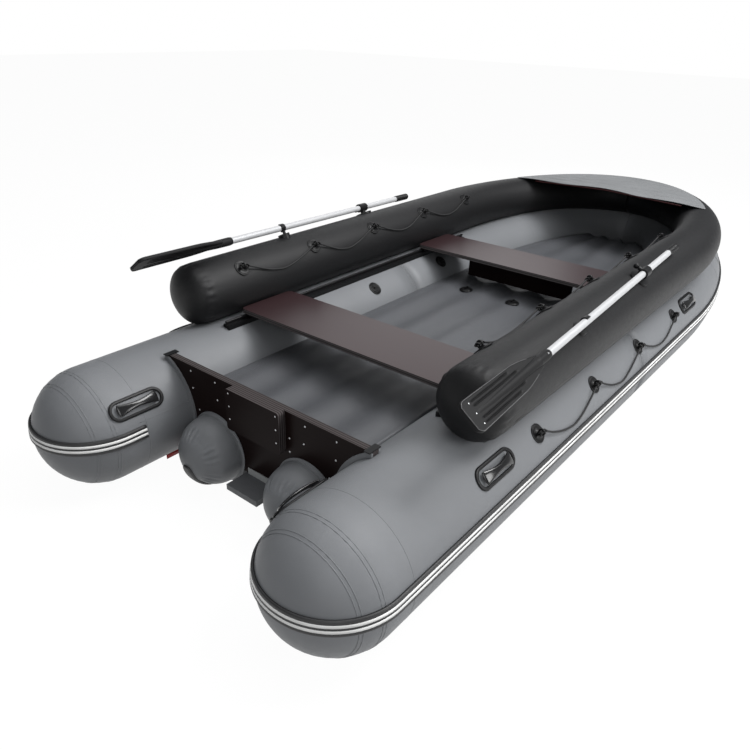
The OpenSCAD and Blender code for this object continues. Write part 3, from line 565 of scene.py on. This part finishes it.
transom_ply = plywood_finish("transom_plywood", (0.0105, 0.0062, 0.0058), (1, 0, 0), 0.08, 0.03, 0.04)
for name in ("transom_board", "motor_pad"):
    dress(nodes[name], transom_ply)


def moulded_finish(name, colour, smooth, rough, shine):
    material, tree, surface = new_finish(name)
    skin = noise(tree, 420, 3)
    feed(tree, surface, {
        "Base Color": (*colour, 1),
        "Roughness": remap(tree, skin, smooth, rough),
        "Specular IOR Level": shine,
        "Normal": bump(tree, skin, 0.2, 0.0003),
    })
    return material


moulded = moulded_finish("moulded_plastic", (0.006, 0.006, 0.0065), 0.26, 0.5, 0.25)
dress(nodes["transom_holders"], grey_cloth)
dress(nodes["holder_caps"], moulded)

# Stainless countersunk screws hold the pad, the holders and the pods' collars to the transom.
# Each is a low dome with a cross recess, set on its spot by one Geometry Nodes tree.
bright, tree, surface = new_finish("bright_metal")
satin = remap(tree, noise(tree, 60, 5, (1, 12, 12)), 0.2, 0.42)
feed(tree, surface, {"Base Color": (0.66, 0.67, 0.68, 1), "Metallic": 1, "Roughness": satin})
spot_tree = bpy.data.node_groups.new("set_on_spots", "GeometryNodeTree")
spot_tree.is_modifier = True
tree = spot_tree
spot_inputs = {}
for label, kind in (("Spots", "Geometry"), ("Unit", "Object"), ("Size", "Float"), ("Finish", "Material")):
    socket = tree.interface.new_socket(label, in_out="INPUT", socket_type=f"NodeSocket{kind}")
    spot_inputs[label] = socket.identifier
tree.interface.new_socket("Pieces", in_out="OUTPUT", socket_type="NodeSocketGeometry")
given, result = tree.nodes.new("NodeGroupInput").outputs, tree.nodes.new("NodeGroupOutput")
unit_shape = add_node(tree, "GeometryNodeObjectInfo", {"Object": given["Unit"]}).outputs["Geometry"]
named_way = "GeometryNodeInputNamedAttribute"
facing, along = [
    add_node(tree, named_way, {"Name": name}, data_type="FLOAT_VECTOR").outputs["Attribute"]
    for name in ("facing", "along")
]
align = "FunctionNodeAlignRotationToVector"
stand = add_node(tree, align, {"Vector": facing}, axis="Z").outputs["Rotation"]
pointing = {"Vector": along, "Rotation": stand}
aligned = add_node(tree, align, pointing, axis="X", pivot_axis="Z").outputs["Rotation"]
copies = {"Points": given["Spots"], "Instance": unit_shape, "Rotation": aligned, "Scale": given["Size"]}
put = add_node(tree, "GeometryNodeInstanceOnPoints", copies).outputs["Instances"]
real = add_node(tree, "GeometryNodeRealizeInstances", {"Geometry": put}).outputs["Geometry"]
painted = add_node(tree, "GeometryNodeSetMaterial", {"Geometry": real, "Material": given["Finish"]})
feed(tree, result, {"Pieces": painted.outputs["Geometry"]})


def set_on_spots(name, unit, spots, material, size=1.0):
    """One plain mesh of the unit's copies, one for each (place, facing, along)."""
    carrier = bpy.data.meshes.new(name)
    carrier.from_pydata([tuple(s[0]) for s in spots], [], [])
    for k, attribute in ((1, "facing"), (2, "along")):
        layer = carrier.attributes.new(attribute, "FLOAT_VECTOR", "POINT")
        layer.data.foreach_set("vector", [c for s in spots for c in s[k]])
    piece = bpy.data.objects.new(name, carrier)
    scene.collection.objects.link(piece)
    modifier = piece.modifiers.new("spots", "NODES")
    modifier.node_group = spot_tree
    for label, value in (("Unit", unit), ("Size", size), ("Finish", material)):
        modifier[spot_inputs[label]] = value
    made = bpy.data.meshes.new_from_object(piece.evaluated_get(bpy.context.evaluated_depsgraph_get()))
    piece.modifiers.remove(modifier)
    piece.data = made
    return piece


def fittings(name, parts, spots, material, stands_for=(), size=1.0):
    """Copies of one small shape on their spots, as one dressed piece."""
    unit = lofts("unit", parts)
    dress(set_on_spots(name, unit, spots, material, size), material, stands_for=stands_for)
    bpy.data.objects.remove(unit)


def spin(profile, count):
    """Rings of a shape turned about Z, from (radius, height) pairs."""
    return [[Vector((r * cos(t), r * sin(t), z)) for t in turns(count)] for r, z in profile]


head_profile = (
    (0.0049, 0.0), (0.0049, 0.0006), (0.0042, 0.0015),
    (0.0030, 0.0021), (0.0015, 0.0023), (0.0003, 0.0023),
)
recess_half, recess_reach, recess_depth, screw_size = 0.0006, 0.0032, 0.0012, 0.85
head = spin(head_profile, 24)
for row in head[3:]:
    for p in row:
        if min(abs(p.x), abs(p.y)) < recess_half and max(abs(p.x), abs(p.y)) < recess_reach:
            p.z -= recess_depth
transom_top, pad_t, pad_h, pad_w = 0.49, 0.035, 0.18, 0.29
pad_screws, pad_edge, pad_head_sunk, below_pad = (0.018, 0.075, 0.132), 0.017, 0.0026, 0.027
board_screws = (
    (0.245, 0.027), (0.395, 0.027), (0.238, 0.104), (0.392, 0.104),
    (0.362, 0.196), (0.165, 0.110), (0.165, 0.170),
)
screw_spots = []
for s in (-1, 1):
    for y, z in board_screws:
        screw_spots.append(((at(transom_at), s * y, transom_top - z), -fore, up))
    for z in pad_screws:
        pad_face = at(transom_at - pad_t + pad_head_sunk)
        screw_spots.append(((pad_face, s * (pad_w / 2 - pad_edge), transom_top - z), -fore, up))
screw_spots.append(((at(transom_at), 0, transom_top - pad_h - below_pad), -fore, up))
fittings(
    "transom_screw_heads", [(head, False)], screw_spots, bright,
    ["transom_screws"], screw_size,
)

# The floor is a blown-up mat that fills the hull between the tubes, with long crowns and valleys.
# It is the hull's kind of cloth in a darker grey, and follows the bow's inner curve.
floor_low, floor_top, valley, crowns, floor_gap, floor_edge = 0.3383, 0.3783, 0.016, 4, 0.004, 0.004
floor_from, floor_to = 0.581, length - 0.76


def clear_half(x, z):
    """Half the room between the tubes at a station and a height."""
    best = 1.0
    for q in [main_side(max(x, 0.3))[0]] + axis_line if x < bow_start else axis_line:
        reach = (tube_r + floor_gap) ** 2 - (z - q.z) ** 2
        gap = reach - (q.x - at(x)) ** 2
        if gap > 0:
            best = min(best, q.y - sqrt(gap))
    return best


floor_stations = [floor_from, floor_from + 0.006] + spread(floor_from + 0.05, sheer_start - 0.2, 20)
floor_stations += spread(sheer_start - 0.1, floor_to, 24)
floor_rings = []
for x in floor_stations:
    half = clear_half(x, floor_low)
    crest = floor_top - (floor_edge if x == floor_from else 0.0)
    top = []
    for u in spread(1, -1, 72):
        dip = valley * (1 - sin(pi / 2 * crowns * (u + 1)) ** 2)
        top.append(Vector((at(x), half * u, crest - dip)))
    floor_rings.append(top + [Vector((p.x, p.y, floor_low)) for p in reversed(top)])
dress(lofts("floor_mat", [(floor_rings, False)]), floor_cloth, stands_for=["floor"])

# The seats are glossy film-faced plywood boards, held by plastic runners on rails along the tubes.
# A dark board with a scooped top edge stands under the front seat.
seat_ply = plywood_finish("seat_plywood", (0.028, 0.014, 0.0155), (0, 0, 1), 0.04, 0.01, 0.55)
for seat in ("rear_seat", "front_seat"):
    dress(nodes[f"{seat}_board"], seat_ply, body=seat)
    dress(nodes[f"{seat}_slides"], moulded, body=seat)
dress(nodes["front_seat_panel"], transom_ply, body="front_seat")
dress(nodes["seat_rails"], moulded)

# The bow canopy is one sheet of woven cloth, laced tight over the bulwark's top round the bow.
# It pulls into long folds from side to side, and a thin edge of red lining shows along its aft hem.
canopy_from, canopy_gap, canopy_crown, canopy_t = 3.7, 0.0035, 0.022, 0.0016
long_fold_h, short_fold_h, fine_fold_h = 0.0056, 0.0026, 0.0009
canopy_start = asin((canopy_from - bulwark_bend) / bulwark_len)
middle = Vector((at(canopy_from), 0, bulwark_z + bulwark_r + canopy_crown))


def canopy_frame(s):
    a = pi / 2 - (pi / 2 - canopy_start) * abs(s)
    (c, n), r = bulwark_bow(a), bulwark_radius(a) + canopy_gap
    return ((c, n) if s >= 0 else (mirror(c), mirror(n))), r


def canopy_fold(d, y):
    """Long folds from side to side, with finer ones between them."""
    long_fold = long_fold_h * cos(2 * pi * (8 * d + 1.1 * y + 0.35 * sin(4 * y)))
    short_fold = short_fold_h * cos(2 * pi * (19 * d - 1.9 * y) + 1)
    return long_fold + short_fold + fine_fold_h * cos(2 * pi * (37 * d + 3.7 * y))


canopy_rows = []
for s in spread(1, -1, 144):
    w, r = canopy_frame(s)
    rim = polar(w, r, pi / 2)
    row = []
    for u in spread(0.02, 1, 26):
        p = middle + (rim - middle) * u
        slack = min(1.0, 2.2 * u) * sin(pi * u) ** 0.7 if u < 0.98 else 0.0
        row.append(p + up * (canopy_fold(p.x - middle.x, p.y) * slack))
    row += [polar(w, r, radians(a)) for a in (88, 85, 82)]
    canopy_rows.append(row)
bm = bmesh.new()
grid = [[bm.verts.new(p) for p in row] for row in canopy_rows]
for a, b in zip(grid, grid[1:]):
    for i in range(len(a) - 1):
        bm.faces.new((a[i], a[i + 1], b[i + 1], b[i]))
bm.faces.new([row[0] for row in grid])
bmesh.ops.recalc_face_normals(bm, faces=bm.faces)
for f in bm.faces:
    f.smooth = True
    if f.normal.z < -0.5:
        f.normal_flip()
cut_area = sum(f.calc_area() for f in bm.faces)
canopy = new_piece("bow_canopy", bm)
thickness = canopy.modifiers.new("cloth", "SOLIDIFY")
thickness.thickness = canopy_t
thickness.offset = 0
canopy_cloth = cloth_finish("canopy_cloth", (0.165, 0.170, 0.175), 0.10, 0.52, 420, 0.5, 0.3)
dress(canopy, canopy_cloth, stands_for=["canopy"])
lining_reach, lining_drop = 0.8, 0.006
lining_section = (
    (0.002, 0.0), (0.002, -0.007), (0.005, -0.009), (0.05, -0.007),
    (0.05, -0.0055), (0.006, -0.007), (0.0035, -0.001),
)
lining_rings = []
for s in spread(1, -1, 40):
    w, r = canopy_frame(1 if s > 0 else -1)
    p = middle + (polar(w, r, pi / 2) - middle) * (abs(s) * lining_reach) - up * lining_drop
    lining_rings.append([p + Vector((x, 0, z)) for x, z in lining_section])
lining = lofts("canopy_lining", [(lining_rings, False)])
lining_cloth = cloth_finish("lining_cloth", (0.040, 0.002, 0.003), 0.08, 0.5, 420, 0.3)
dress(lining, lining_cloth)

# The rowlocks are plastic saddles welded on the bulwark, each with a pin for the oar's collar.
# A clamp knob holds the collar on the shaft, and an open clip further aft holds the stowed oar.
dress(nodes["rowlock_bases"], moulded)
dress(nodes["oar_clips"], moulded)
for side, word in hands:
    dress(nodes[f"rowlock_collar_{word}"], moulded, body=f"oar_{word}")
    dress(nodes[f"rowlock_knob_{word}"], moulded, body=f"clamp_knob_{word}")

# Each oar is an aluminium tube with a moulded ribbed blade on its aft end and a grip on the other.
# The blade has a round neck with a bright rivet, ridges along both faces, a beaded edge and a square tip.
shaft_metal, tree, surface = new_finish("anodised_shaft")
lines = noise(tree, 4, 6, (3, 160, 160))
feed(tree, surface, {
    "Base Color": ramp(tree, lines, (0.45, 0.46, 0.47), (0.58, 0.58, 0.59)),
    "Metallic": 0.25,
    "Roughness": remap(tree, lines, 0.3, 0.5),
})
rowlock_at, oar_len, oar_fore, blade_len, blade_w = 2.14, 2.06, 0.48, 0.53, 0.110
tip_x = oar_fore - oar_len
neck_x = tip_x + blade_len
tip_corner, neck_half, blade_t = 0.026, 0.020, 0.0062
straight = blade_len * 0.55
grooves, groove_from, groove_half, groove_depth = ((0.0215, 0.335), (0.0365, 0.285)), 0.055, 0.0042, 0.0042
groove_floor, blade_taper, rim_w, rim_h = 0.0030, 0.08, 0.0035, 0.0012
spine_from, spine_len, spine_w, spine_widen, spine_h, spine_climb = 0.06, 0.40, 0.005, 0.013, 0.001, 0.011


def blade_half(x):
    """Half the blade's width: a rounded tip, a slight taper and a curve down to the neck."""
    d = x - tip_x
    if d < tip_corner:
        return blade_w / 2 - tip_corner + sqrt(max(0.0, tip_corner**2 - (tip_corner - d) ** 2))
    if d < straight:
        return blade_w / 2 * (1 - blade_taper * (d - tip_corner) / (straight - tip_corner))
    k = (d - straight) / (blade_len - straight)
    narrow = blade_w / 2 * (1 - blade_taper)
    return narrow + (neck_half - narrow) * (3 * k * k - 2 * k**3)


def blade_face(x, y):
    """Half the blade's thickness, with a raised rim, sunk grooves and a rising spine."""
    d, side_y = x - tip_x, abs(y)
    face = blade_t
    if blade_half(x) - side_y < rim_w:
        face += rim_h
    for groove, reach in grooves:
        if groove_from < d < reach:
            ends = min(1.0, (d - groove_from) / 0.006, (reach - d) / 0.010)
            face -= groove_depth * ends * max(0.0, 1 - ((side_y - groove) / groove_half) ** 4)
    if d > spine_from:
        spine = min(1.0, (d - spine_from) / spine_len)
        width = spine_w + spine_widen * spine
        face += (spine_h + spine_climb * spine) * sqrt(max(0.0, 1 - (y / width) ** 2))
    return face


blade_rings = []
for d in [0.0002, 0.0015, 0.004, 0.009, 0.017] + spread(tip_corner, blade_len - 0.06, 64):
    x, half = tip_x + d, blade_half(tip_x + d)
    over_side = []
    for y in spread(-half, half, 64):
        rim = min(1.0, 0.35 + (half - abs(y)) / 0.004)
        over_side.append(Vector((x, y, blade_face(x, y) * rim)))
    blade_rings.append(over_side + [Vector((p.x, p.y, -p.z)) for p in reversed(over_side)])
neck_profile = [
    (-0.100, 0.0140), (-0.096, 0.0182), (-0.060, 0.0188), (-0.012, 0.0190),
    (0.000, 0.0190), (0.004, 0.0180), (0.010, 0.0178),
]
grip_r, grip_groove_r, rib_step = 0.0178, 0.0168, 0.0092
grip_profile = [(-0.130, 0.0150), (-0.128, 0.0172)]
for i in range(12):
    x = -0.122 + i * rib_step
    grip_profile += [(x, grip_r), (x + 0.0050, grip_r)]
    grip_profile += [(x + 0.0058, grip_groove_r), (x + 0.0080, grip_groove_r)]
grip_profile += [(-0.010, grip_r), (-0.006, 0.0174), (-0.002, 0.0158), (0.0, 0.0125), (0.0, 0.004)]


def shaft_hoops(profile, origin):
    return [[Vector((origin + x, r * cos(t), r * sin(t))) for t in turns(40)] for x, r in profile]


def in_groove(p):
    d, y = p.x - tip_x, abs(p.y)
    for groove, reach in grooves:
        if groove_from + 0.001 < d < reach - 0.002 and abs(y - groove) < groove_floor:
            return True
    return False


blade_plastic = moulded_finish("blade_plastic", (0.0125, 0.0125, 0.013), 0.42, 0.6, 0.12)
# The groove floors take a near-black finish as painted shade in the blade's grooves.
groove_painted_shade = moulded_finish("groove_painted_shade", (0.002, 0.002, 0.0022), 0.5, 0.7, 0.12)
# The edge bead is light grey as a painted highlight along the blade's rim.
edge_painted_highlight = moulded_finish("blade_edge_painted_highlight", (0.075, 0.075, 0.077), 0.3, 0.45, 0.5)
bead_r, bead_in, bead_up = 0.0011, 0.0026, 0.0072
edge_stations = spread(tip_x + 0.0030, tip_x + blade_len * 0.78, 40)
edge_line = [Vector((x, blade_half(x) - bead_in, bead_up)) for x in edge_stations]
edge_line = [mirror(p) for p in reversed(edge_line)] + edge_line


def line_rings(line, r, count):
    """Rings of a round bead or cord along a line."""
    rings = []
    for i, p in enumerate(line):
        ahead = (line[min(i + 1, len(line) - 1)] - line[max(i - 1, 0)]).normalized()
        a = up.cross(ahead).normalized()
        b = ahead.cross(a)
        rings.append([p + (b * cos(t) + a * sin(t)) * r for t in turns(count)])
    return rings


rivet_profile = ((0.0046, -0.001), (0.0046, 0.0006), (0.0036, 0.0016), (0.0018, 0.0022), (0.0003, 0.0023))
rivet = lofts("rivet", [(spin(rivet_profile, 20), False)])
neck_rivet, neck_rivet_up, tip_rivet, tip_rivet_y, rivet_size = 0.012, 0.0187, 0.042, 0.036, 0.6
rivet_spots = [((neck_x - neck_rivet, 0, neck_rivet_up), up, fore)]
rivet_spots += [((tip_x + tip_rivet, y, blade_t), up, fore) for y in (tip_rivet_y, 0, -tip_rivet_y)]
oar_lean, oar_stand, blade_roll = radians(28), 0.037, radians(10)
oar_swing = {"port": radians(4), "starboard": radians(2.5)}
for side, word in hands:
    oar = f"oar_{word}"
    foot = Matrix.Translation((at(rowlock_at), side * bulwark_y, bulwark_z))
    stand_out = foot @ Matrix.Rotation(-side * oar_lean, 4, "X")
    swing = Matrix.Rotation(oar_swing[word], 4, "Z")
    lie = stand_out @ Matrix.Translation((0, 0, bulwark_r + oar_stand)) @ swing
    rolled = lie @ Matrix.Rotation(-side * blade_roll, 4, "X")
    dress(nodes[f"oar_shaft_{word}"], shaft_metal, body=oar)
    neck_rings = shaft_hoops(neck_profile, neck_x)
    blade = lofts(f"oar_blade_{word}_moulding", [(blade_rings, False), (neck_rings, False)])
    groove_shade_faces = [int(in_groove(f.center)) for f in blade.data.polygons]
    blade.data.transform(rolled)
    dress(blade, blade_plastic, oar, [f"oar_blade_{word}"])
    # Faces on the groove floors take the painted shade.
    blade.data.materials.append(groove_painted_shade)
    blade.data.polygons.foreach_set("material_index", groove_shade_faces)
    # The bead along the blade's outline carries the painted highlight.
    bead = lofts(f"oar_blade_edge_{word}", [(line_rings(edge_line, bead_r, 8), False)])
    bead.data.transform(rolled)
    dress(bead, edge_painted_highlight, oar)
    grip = lofts(f"oar_grip_{word}_ribbed", [(shaft_hoops(grip_profile, oar_fore), False)])
    grip.data.transform(lie)
    dress(grip, moulded, oar, [f"oar_grip_{word}"])
    studs = set_on_spots(f"oar_rivets_{word}", rivet, rivet_spots, bright, rivet_size)
    studs.data.transform(rolled)
    dress(studs, bright, oar)
bpy.data.objects.remove(rivet)

# The lifeline eyes are round moulded patches of black plastic, each with a loop for the cord.
# They are welded in a row along the outside of the main tube and the inside of the bulwark.
outer_angle, inner_angle = 38, 135
outer_stations = (1.17, 1.69, 2.21, 2.73)
inner_stations = (1.06, 1.54, 2.02, 2.50, 2.98)
patch_profile = (
    (0.038, 0.0003), (0.038, 0.0018), (0.0365, 0.0030), (0.033, 0.0036), (0.0325, 0.0032),
    (0.026, 0.0040), (0.0165, 0.0055), (0.012, 0.0085), (0.009, 0.0095), (0.002, 0.0098),
)
loop_up, loop_r, loop_t, loop_w = 0.020, 0.011, 0.0038, 0.0046
loop_rings = []
for t in turns(28):
    out = Vector((0, cos(t), sin(t)))
    ring = [up * loop_up + out * (loop_r + loop_t * cos(v)) + fore * (loop_w * sin(v)) for v in turns(12)]
    loop_rings.append(ring)
eye_parts = [(spin(patch_profile, 40), False), (loop_rings, True)]


def spot_on(where, r, degrees, side):
    """A fitting's spot on a straight tube: its place, the way it faces and the way it points."""
    a = radians(degrees)
    return mirror(polar(where, r, a), side), mirror(outward(where, a), side), fore


eye_spots = []
for s in (1, -1):
    eye_spots += [spot_on(main_side(x), tube_r, outer_angle, s) for x in outer_stations]
    eye_spots += [spot_on(bulwark_side(x), bulwark_r, inner_angle, s) for x in inner_stations]
fittings("lifeline_eye_patches", eye_parts, eye_spots, moulded, ["lifeline_eyes"])

# The lifelines are thin braided cords, threaded through the eyes with a sag between each pair.
# Stopper knots on both sides of each eye keep the sag where it is.
outer_steps = (0.03, 0.09, 0.17, 0.26, 0.35, 0.43, 0.49)
outer_sags = ((36, 30, 24, 21, 24, 30, 36), (36, 30, 23, 20, 24, 30, 36), (36, 31, 25, 22, 24, 30, 36))
inner_steps = (0.03, 0.09, 0.16, 0.24, 0.32, 0.39, 0.45)
inner_sags = (
    (138, 146, 155, 159, 154, 146, 138), (138, 147, 157, 161, 155, 146, 138),
    (138, 146, 155, 160, 156, 146, 138), (138, 146, 155, 159, 155, 146, 138),
)
eye_off, sag_offs = 0.020, (0.019, 0.010, 0.007, 0.007, 0.007, 0.010, 0.019)
cord_r, cord_end, strands_round, strands_per_metre = 0.004, 0.016, 6, 240
knot_gap, knot_size, knot_cord_r = 0.019, 1.25, 0.0038
knot_reach, knot_sway, knot_half_len = 0.0042, 0.0022, 0.0036
braid, tree, surface = new_finish("braided_cord")
wound = add_node(tree, "UVMap", uv_map="along").outputs["UV"]
lay = add_node(tree, "Mapping", {"Vector": wound, "Rotation": (0, 0, radians(45))}).outputs["Vector"]
plait = add_node(tree, "TexVoronoi", {"Vector": lay, "Scale": 1}).outputs["Distance"]
feed(tree, surface, {
    "Base Color": ramp(tree, plait, (0.009, 0.009, 0.010), (0.003, 0.003, 0.0035)),
    "Roughness": 0.7,
    "Normal": bump(tree, plait, 0.6, 0.0006, invert=True),
})


def cord_route(stations, degrees, steps, sags):
    """The cord's way as (station, degrees round the tube, distance from it)."""
    route = []
    for x, sag in zip(stations, sags):
        route.append((x, degrees, eye_off))
        route += [(x + step, a, off) for step, a, off in zip(steps, sag, sag_offs)]
    return route + [(stations[-1], degrees, eye_off)]


def smooth_line(points, steps):
    """A smooth line that passes through every point."""
    line = []
    for i in range(len(points) - 1):
        p0, p1 = points[max(i - 1, 0)], points[i]
        p2, p3 = points[i + 1], points[min(i + 2, len(points) - 1)]
        for k in range(steps):
            t = k / steps
            square, cube = 2 * p0 - 5 * p1 + 4 * p2 - p3, 3 * p1 - p0 - 3 * p2 + p3
            line.append(0.5 * (2 * p1 + (p2 - p0) * t + square * t * t + cube * t**3))
    return line + [points[-1]]


def cord_tube(name, line, run, count=10):
    """A cord along a line, with a map that runs round and along it for the braid."""
    piece = lofts(name, [(line_rings(line, cord_r, count), False)])
    mesh, uv = piece.data, piece.data.uv_layers.new(name="along", do_init=False).data
    for face in mesh.polygons[:-2]:
        for i in face.loop_indices:
            row, turn = divmod(mesh.loops[i].vertex_index, count)
            if turn == 0 and face.index % count == count - 1:
                turn = count
            uv[i].uv = (turn * strands_round / count, run[row] * strands_per_metre)
    return piece


knot_line = []
for t in turns(48):
    reach = knot_reach + knot_sway * cos(3 * t)
    knot_line.append(Vector((knot_half_len * sin(3 * t), reach * cos(2 * t), reach * sin(2 * t))))


def knot(end):
    """A stopper knot: a small tube wound about its middle."""
    rings = []
    for q in knot_line:
        out = q.normalized()
        rings.append([end + q * knot_size + (out * cos(v) + fore * sin(v)) * knot_cord_r for v in turns(8)])
    return rings, True


outer_route = cord_route(outer_stations, outer_angle, outer_steps, outer_sags)
inner_route = cord_route(inner_stations, inner_angle, inner_steps, inner_sags)
for side, word in hands:
    for row_word, route, stations, tube_at, r in (
        ("outer", outer_route, outer_stations, main_side, tube_r),
        ("inner", inner_route, inner_stations, bulwark_side, bulwark_r),
    ):
        points = [mirror(polar(tube_at(x), r + off, radians(a)), side) for x, a, off in route]
        line = smooth_line([points[0] - fore * cord_end] + points + [points[-1] + fore * cord_end], 6)
        run = [0.0]
        for a, b in zip(line, line[1:]):
            run.append(run[-1] + (b - a).length)
        cord = cord_tube(f"lifeline_{word}_{row_word}_cord", line, run)
        dress(cord, braid, stands_for=[f"lifeline_{word}_{row_word}"])
        tied_at = [at(x) + gap for x in stations for gap in (-knot_gap, knot_gap)]
        tied = [min(line, key=lambda p: abs(p.x - x)) for x in tied_at]
        knots = lofts(f"lifeline_{word}_{row_word}_knots", [knot(end) for end in tied])
        dress(knots, moulded)

# The carrying handles are moulded oval frames of black plastic, open in the middle and welded to the tubes.
# A glossy waisted grip bows across each one from end to end.
handle_len, handle_w, handle_stations = 0.240, 0.086, (0.86, 2.98)
grip_half, grip_waist, grip_flare = 0.091, 0.0125, 0.0145
grip_thick, grip_thinned, grip_up, grip_bow = 0.0058, 0.0010, 0.0215, 0.0105
frame_profile = (
    (0.0, 0.0004), (0.0, 0.0035), (0.0012, 0.0056), (0.0035, 0.0066),
    (0.0105, 0.0070), (0.0122, 0.0064), (0.0132, 0.0040), (0.0142, 0.0004),
)


def oval(long, wide, z):
    """A ring with straight sides and round ends, bent to lie on the tube."""
    ring = []
    for end in (1, -1):
        for t in spread(-pi / 2, pi / 2, 20):
            across = wide / 2 * sin(t)
            x = (long - wide) / 2 + wide / 2 * cos(t)
            ring.append(Vector((end * x, end * across, z - across**2 / (2 * tube_r))))
    return ring


frame_rings = [oval(handle_len - 2 * d, handle_w - 2 * d, z) for d, z in frame_profile]
grip_rings = []
for end in spread(-1, 1, 40):
    x, end = grip_half * end, abs(end)
    close = sqrt(max(0.04, 1 - max(0.0, (end - 0.9) / 0.1) ** 2))
    wide = (grip_waist + grip_flare * end**1.7) * close
    thick = (grip_thick - grip_thinned * end) * close
    high = grip_up - grip_bow * end**2.2
    ring = []
    for t in turns(28):
        c = cos(t)
        ring.append(Vector((x, wide * c * abs(c) ** -0.3 if c else 0.0, high + thick * sin(t))))
    grip_rings.append(ring)
side_angle, stern_angle, stern_at, dip = 39, 146, 0.318, radians(0.8)
handle_spots = []
for s in (1, -1):
    handle_spots += [spot_on(main_side(x), tube_r, side_angle, s) for x in handle_stations]
    dome_edge, out, ahead = spot_on(main_side(tube_r), tube_r, stern_angle, s)
    along = ahead * cos(dip) + out * sin(dip)
    handle_spots.append((dome_edge + along * (stern_at - tube_r), out * cos(dip) - ahead * sin(dip), along))
handle_plastic = moulded_finish("handle_plastic", (0.006, 0.006, 0.0065), 0.34, 0.5, 0.25)
grip_plastic = moulded_finish("grip_plastic", (0.012, 0.012, 0.0125), 0.10, 0.22, 0.5)
fittings("handle_trays", [(frame_rings, True)], handle_spots, handle_plastic, ["handles"])
fittings("handle_grips", [(grip_rings, False)], handle_spots, grip_plastic)

# The air valves are black plastic, two in the inner side of each main tube and two in the floor.
# Each is a stepped flange screwed into the cloth, with a well for its turning cap.
seat_profile = (
    (0.038, 0.0003), (0.038, 0.0030), (0.0365, 0.0042), (0.032, 0.0044), (0.0305, 0.0060), (0.0300, 0.0095),
    (0.0290, 0.0103), (0.0232, 0.0103), (0.0221, 0.0095), (0.0221, 0.0026), (0.002, 0.0024),
)
valve_parts = [(spin(seat_profile, 48), False)]
valve_angle, valve_stations = 130, (1.88, 2.53)
valve_spots = [spot_on(main_side(x), tube_r, valve_angle, s) for s in (1, -1) for x in valve_stations]
fittings("tube_valve_seats", valve_parts, valve_spots, moulded, ["valve_bodies"])
port_valve_at, starboard_valve_at, port_valve_up = 2.38, 2.35, 0.005
floor_half = clear_half(1.0, floor_low)
floor_spots = [
    ((at(port_valve_at), 0.5 * floor_half, floor_top - valley + port_valve_up), up, fore),
    ((at(starboard_valve_at), -0.25 * floor_half, floor_top), up, fore),
]
fittings("floor_valve_seats", valve_parts, floor_spots, moulded, ["floor_valve_bodies"])
for side, word in hands:
    for end in ("aft", "fore"):
        dress(nodes[f"valve_cap_{word}_{end}"], moulded, body=f"tube_cap_{word}_{end}")
    dress(nodes[f"floor_valve_cap_{word}"], moulded, body=f"floor_cap_{word}")

# A steel tow ring hangs from a staple at each shoulder of the bow.
# The staple stands on a round plastic patch that is welded to the bulwark.
dress(nodes["tow_patches"], moulded)
for side, word in hands:
    dress(nodes[f"tow_ring_{word}"], bright, body=f"tow_ring_body_{word}")

# The boat stands on a plain white studio floor under large soft lamps.
# The floor and the world look white to the camera and keep the boat's soft shadow.
bm = bmesh.new()
bmesh.ops.create_grid(bm, x_segments=4, y_segments=4, size=30)
stage = new_piece("studio_floor", bm)
paper, tree, surface = new_finish("studio_paper")
feed(tree, surface, {"Base Color": (0.3, 0.3, 0.3, 1), "Roughness": 0.9})
rays = add_node(tree, "LightPath").outputs
seen = maths(tree, "MAXIMUM", rays["Is Camera Ray"], rays["Is Glossy Ray"])
white = add_node(tree, "Emission", {"Strength": 1.12}).outputs["Emission"]
blend = {"Fac": maths(tree, "MULTIPLY", seen, 0.86), 1: surface.outputs["BSDF"], 2: white}
feed(tree, tree.nodes["Material Output"], {"Surface": add_node(tree, "MixShader", blend).outputs["Shader"]})
stage.data.materials.append(paper)

world = bpy.data.worlds.new("studio")
scene.world = world
world.use_nodes = True
tree = world.node_tree
ambient = tree.nodes["Background"]
feed(tree, ambient, {"Color": (0.93, 0.96, 1.0, 1), "Strength": 0.2})
backdrop = add_node(tree, "Background", {"Color": (1, 1, 1, 1), "Strength": 1.0})
rays = add_node(tree, "LightPath").outputs
seen = maths(tree, "MAXIMUM", rays["Is Camera Ray"], rays["Is Transmission Ray"])
blend = {"Fac": seen, 1: ambient.outputs["Background"], 2: backdrop.outputs["Background"]}
feed(tree, tree.nodes["World Output"], {"Surface": add_node(tree, "MixShader", blend).outputs["Shader"]})
for lamp_name, place, aim, size, power in (
    ("key", (1.6, -2.8, 5.4), (0, 0, 0.3), 3.0, 380),
    ("overhead", (-0.8, 0.2, 5.4), (-0.6, 0, 0.3), 4.5, 150),
    ("side", (0.4, -6.0, 2.2), (0, -0.8, 0.3), 2.5, 170),
    ("fill", (-5.0, -3.0, 2.6), (-0.8, -0.2, 0.3), 2.5, 60),
    ("card", (4.4, 3.4, 2.9), (-0.4, 0, 0.5), 4.0, 46),
):
    lamp = bpy.data.lights.new(lamp_name, "AREA")
    lamp.shape = "SQUARE"
    lamp.size = size
    lamp.energy = power
    lamp_object = bpy.data.objects.new(lamp_name, lamp)
    lamp_object.location = place
    lamp_object.rotation_euler = (Vector(aim) - Vector(place)).to_track_quat("-Z", "Y").to_euler()
    scene.collection.objects.link(lamp_object)
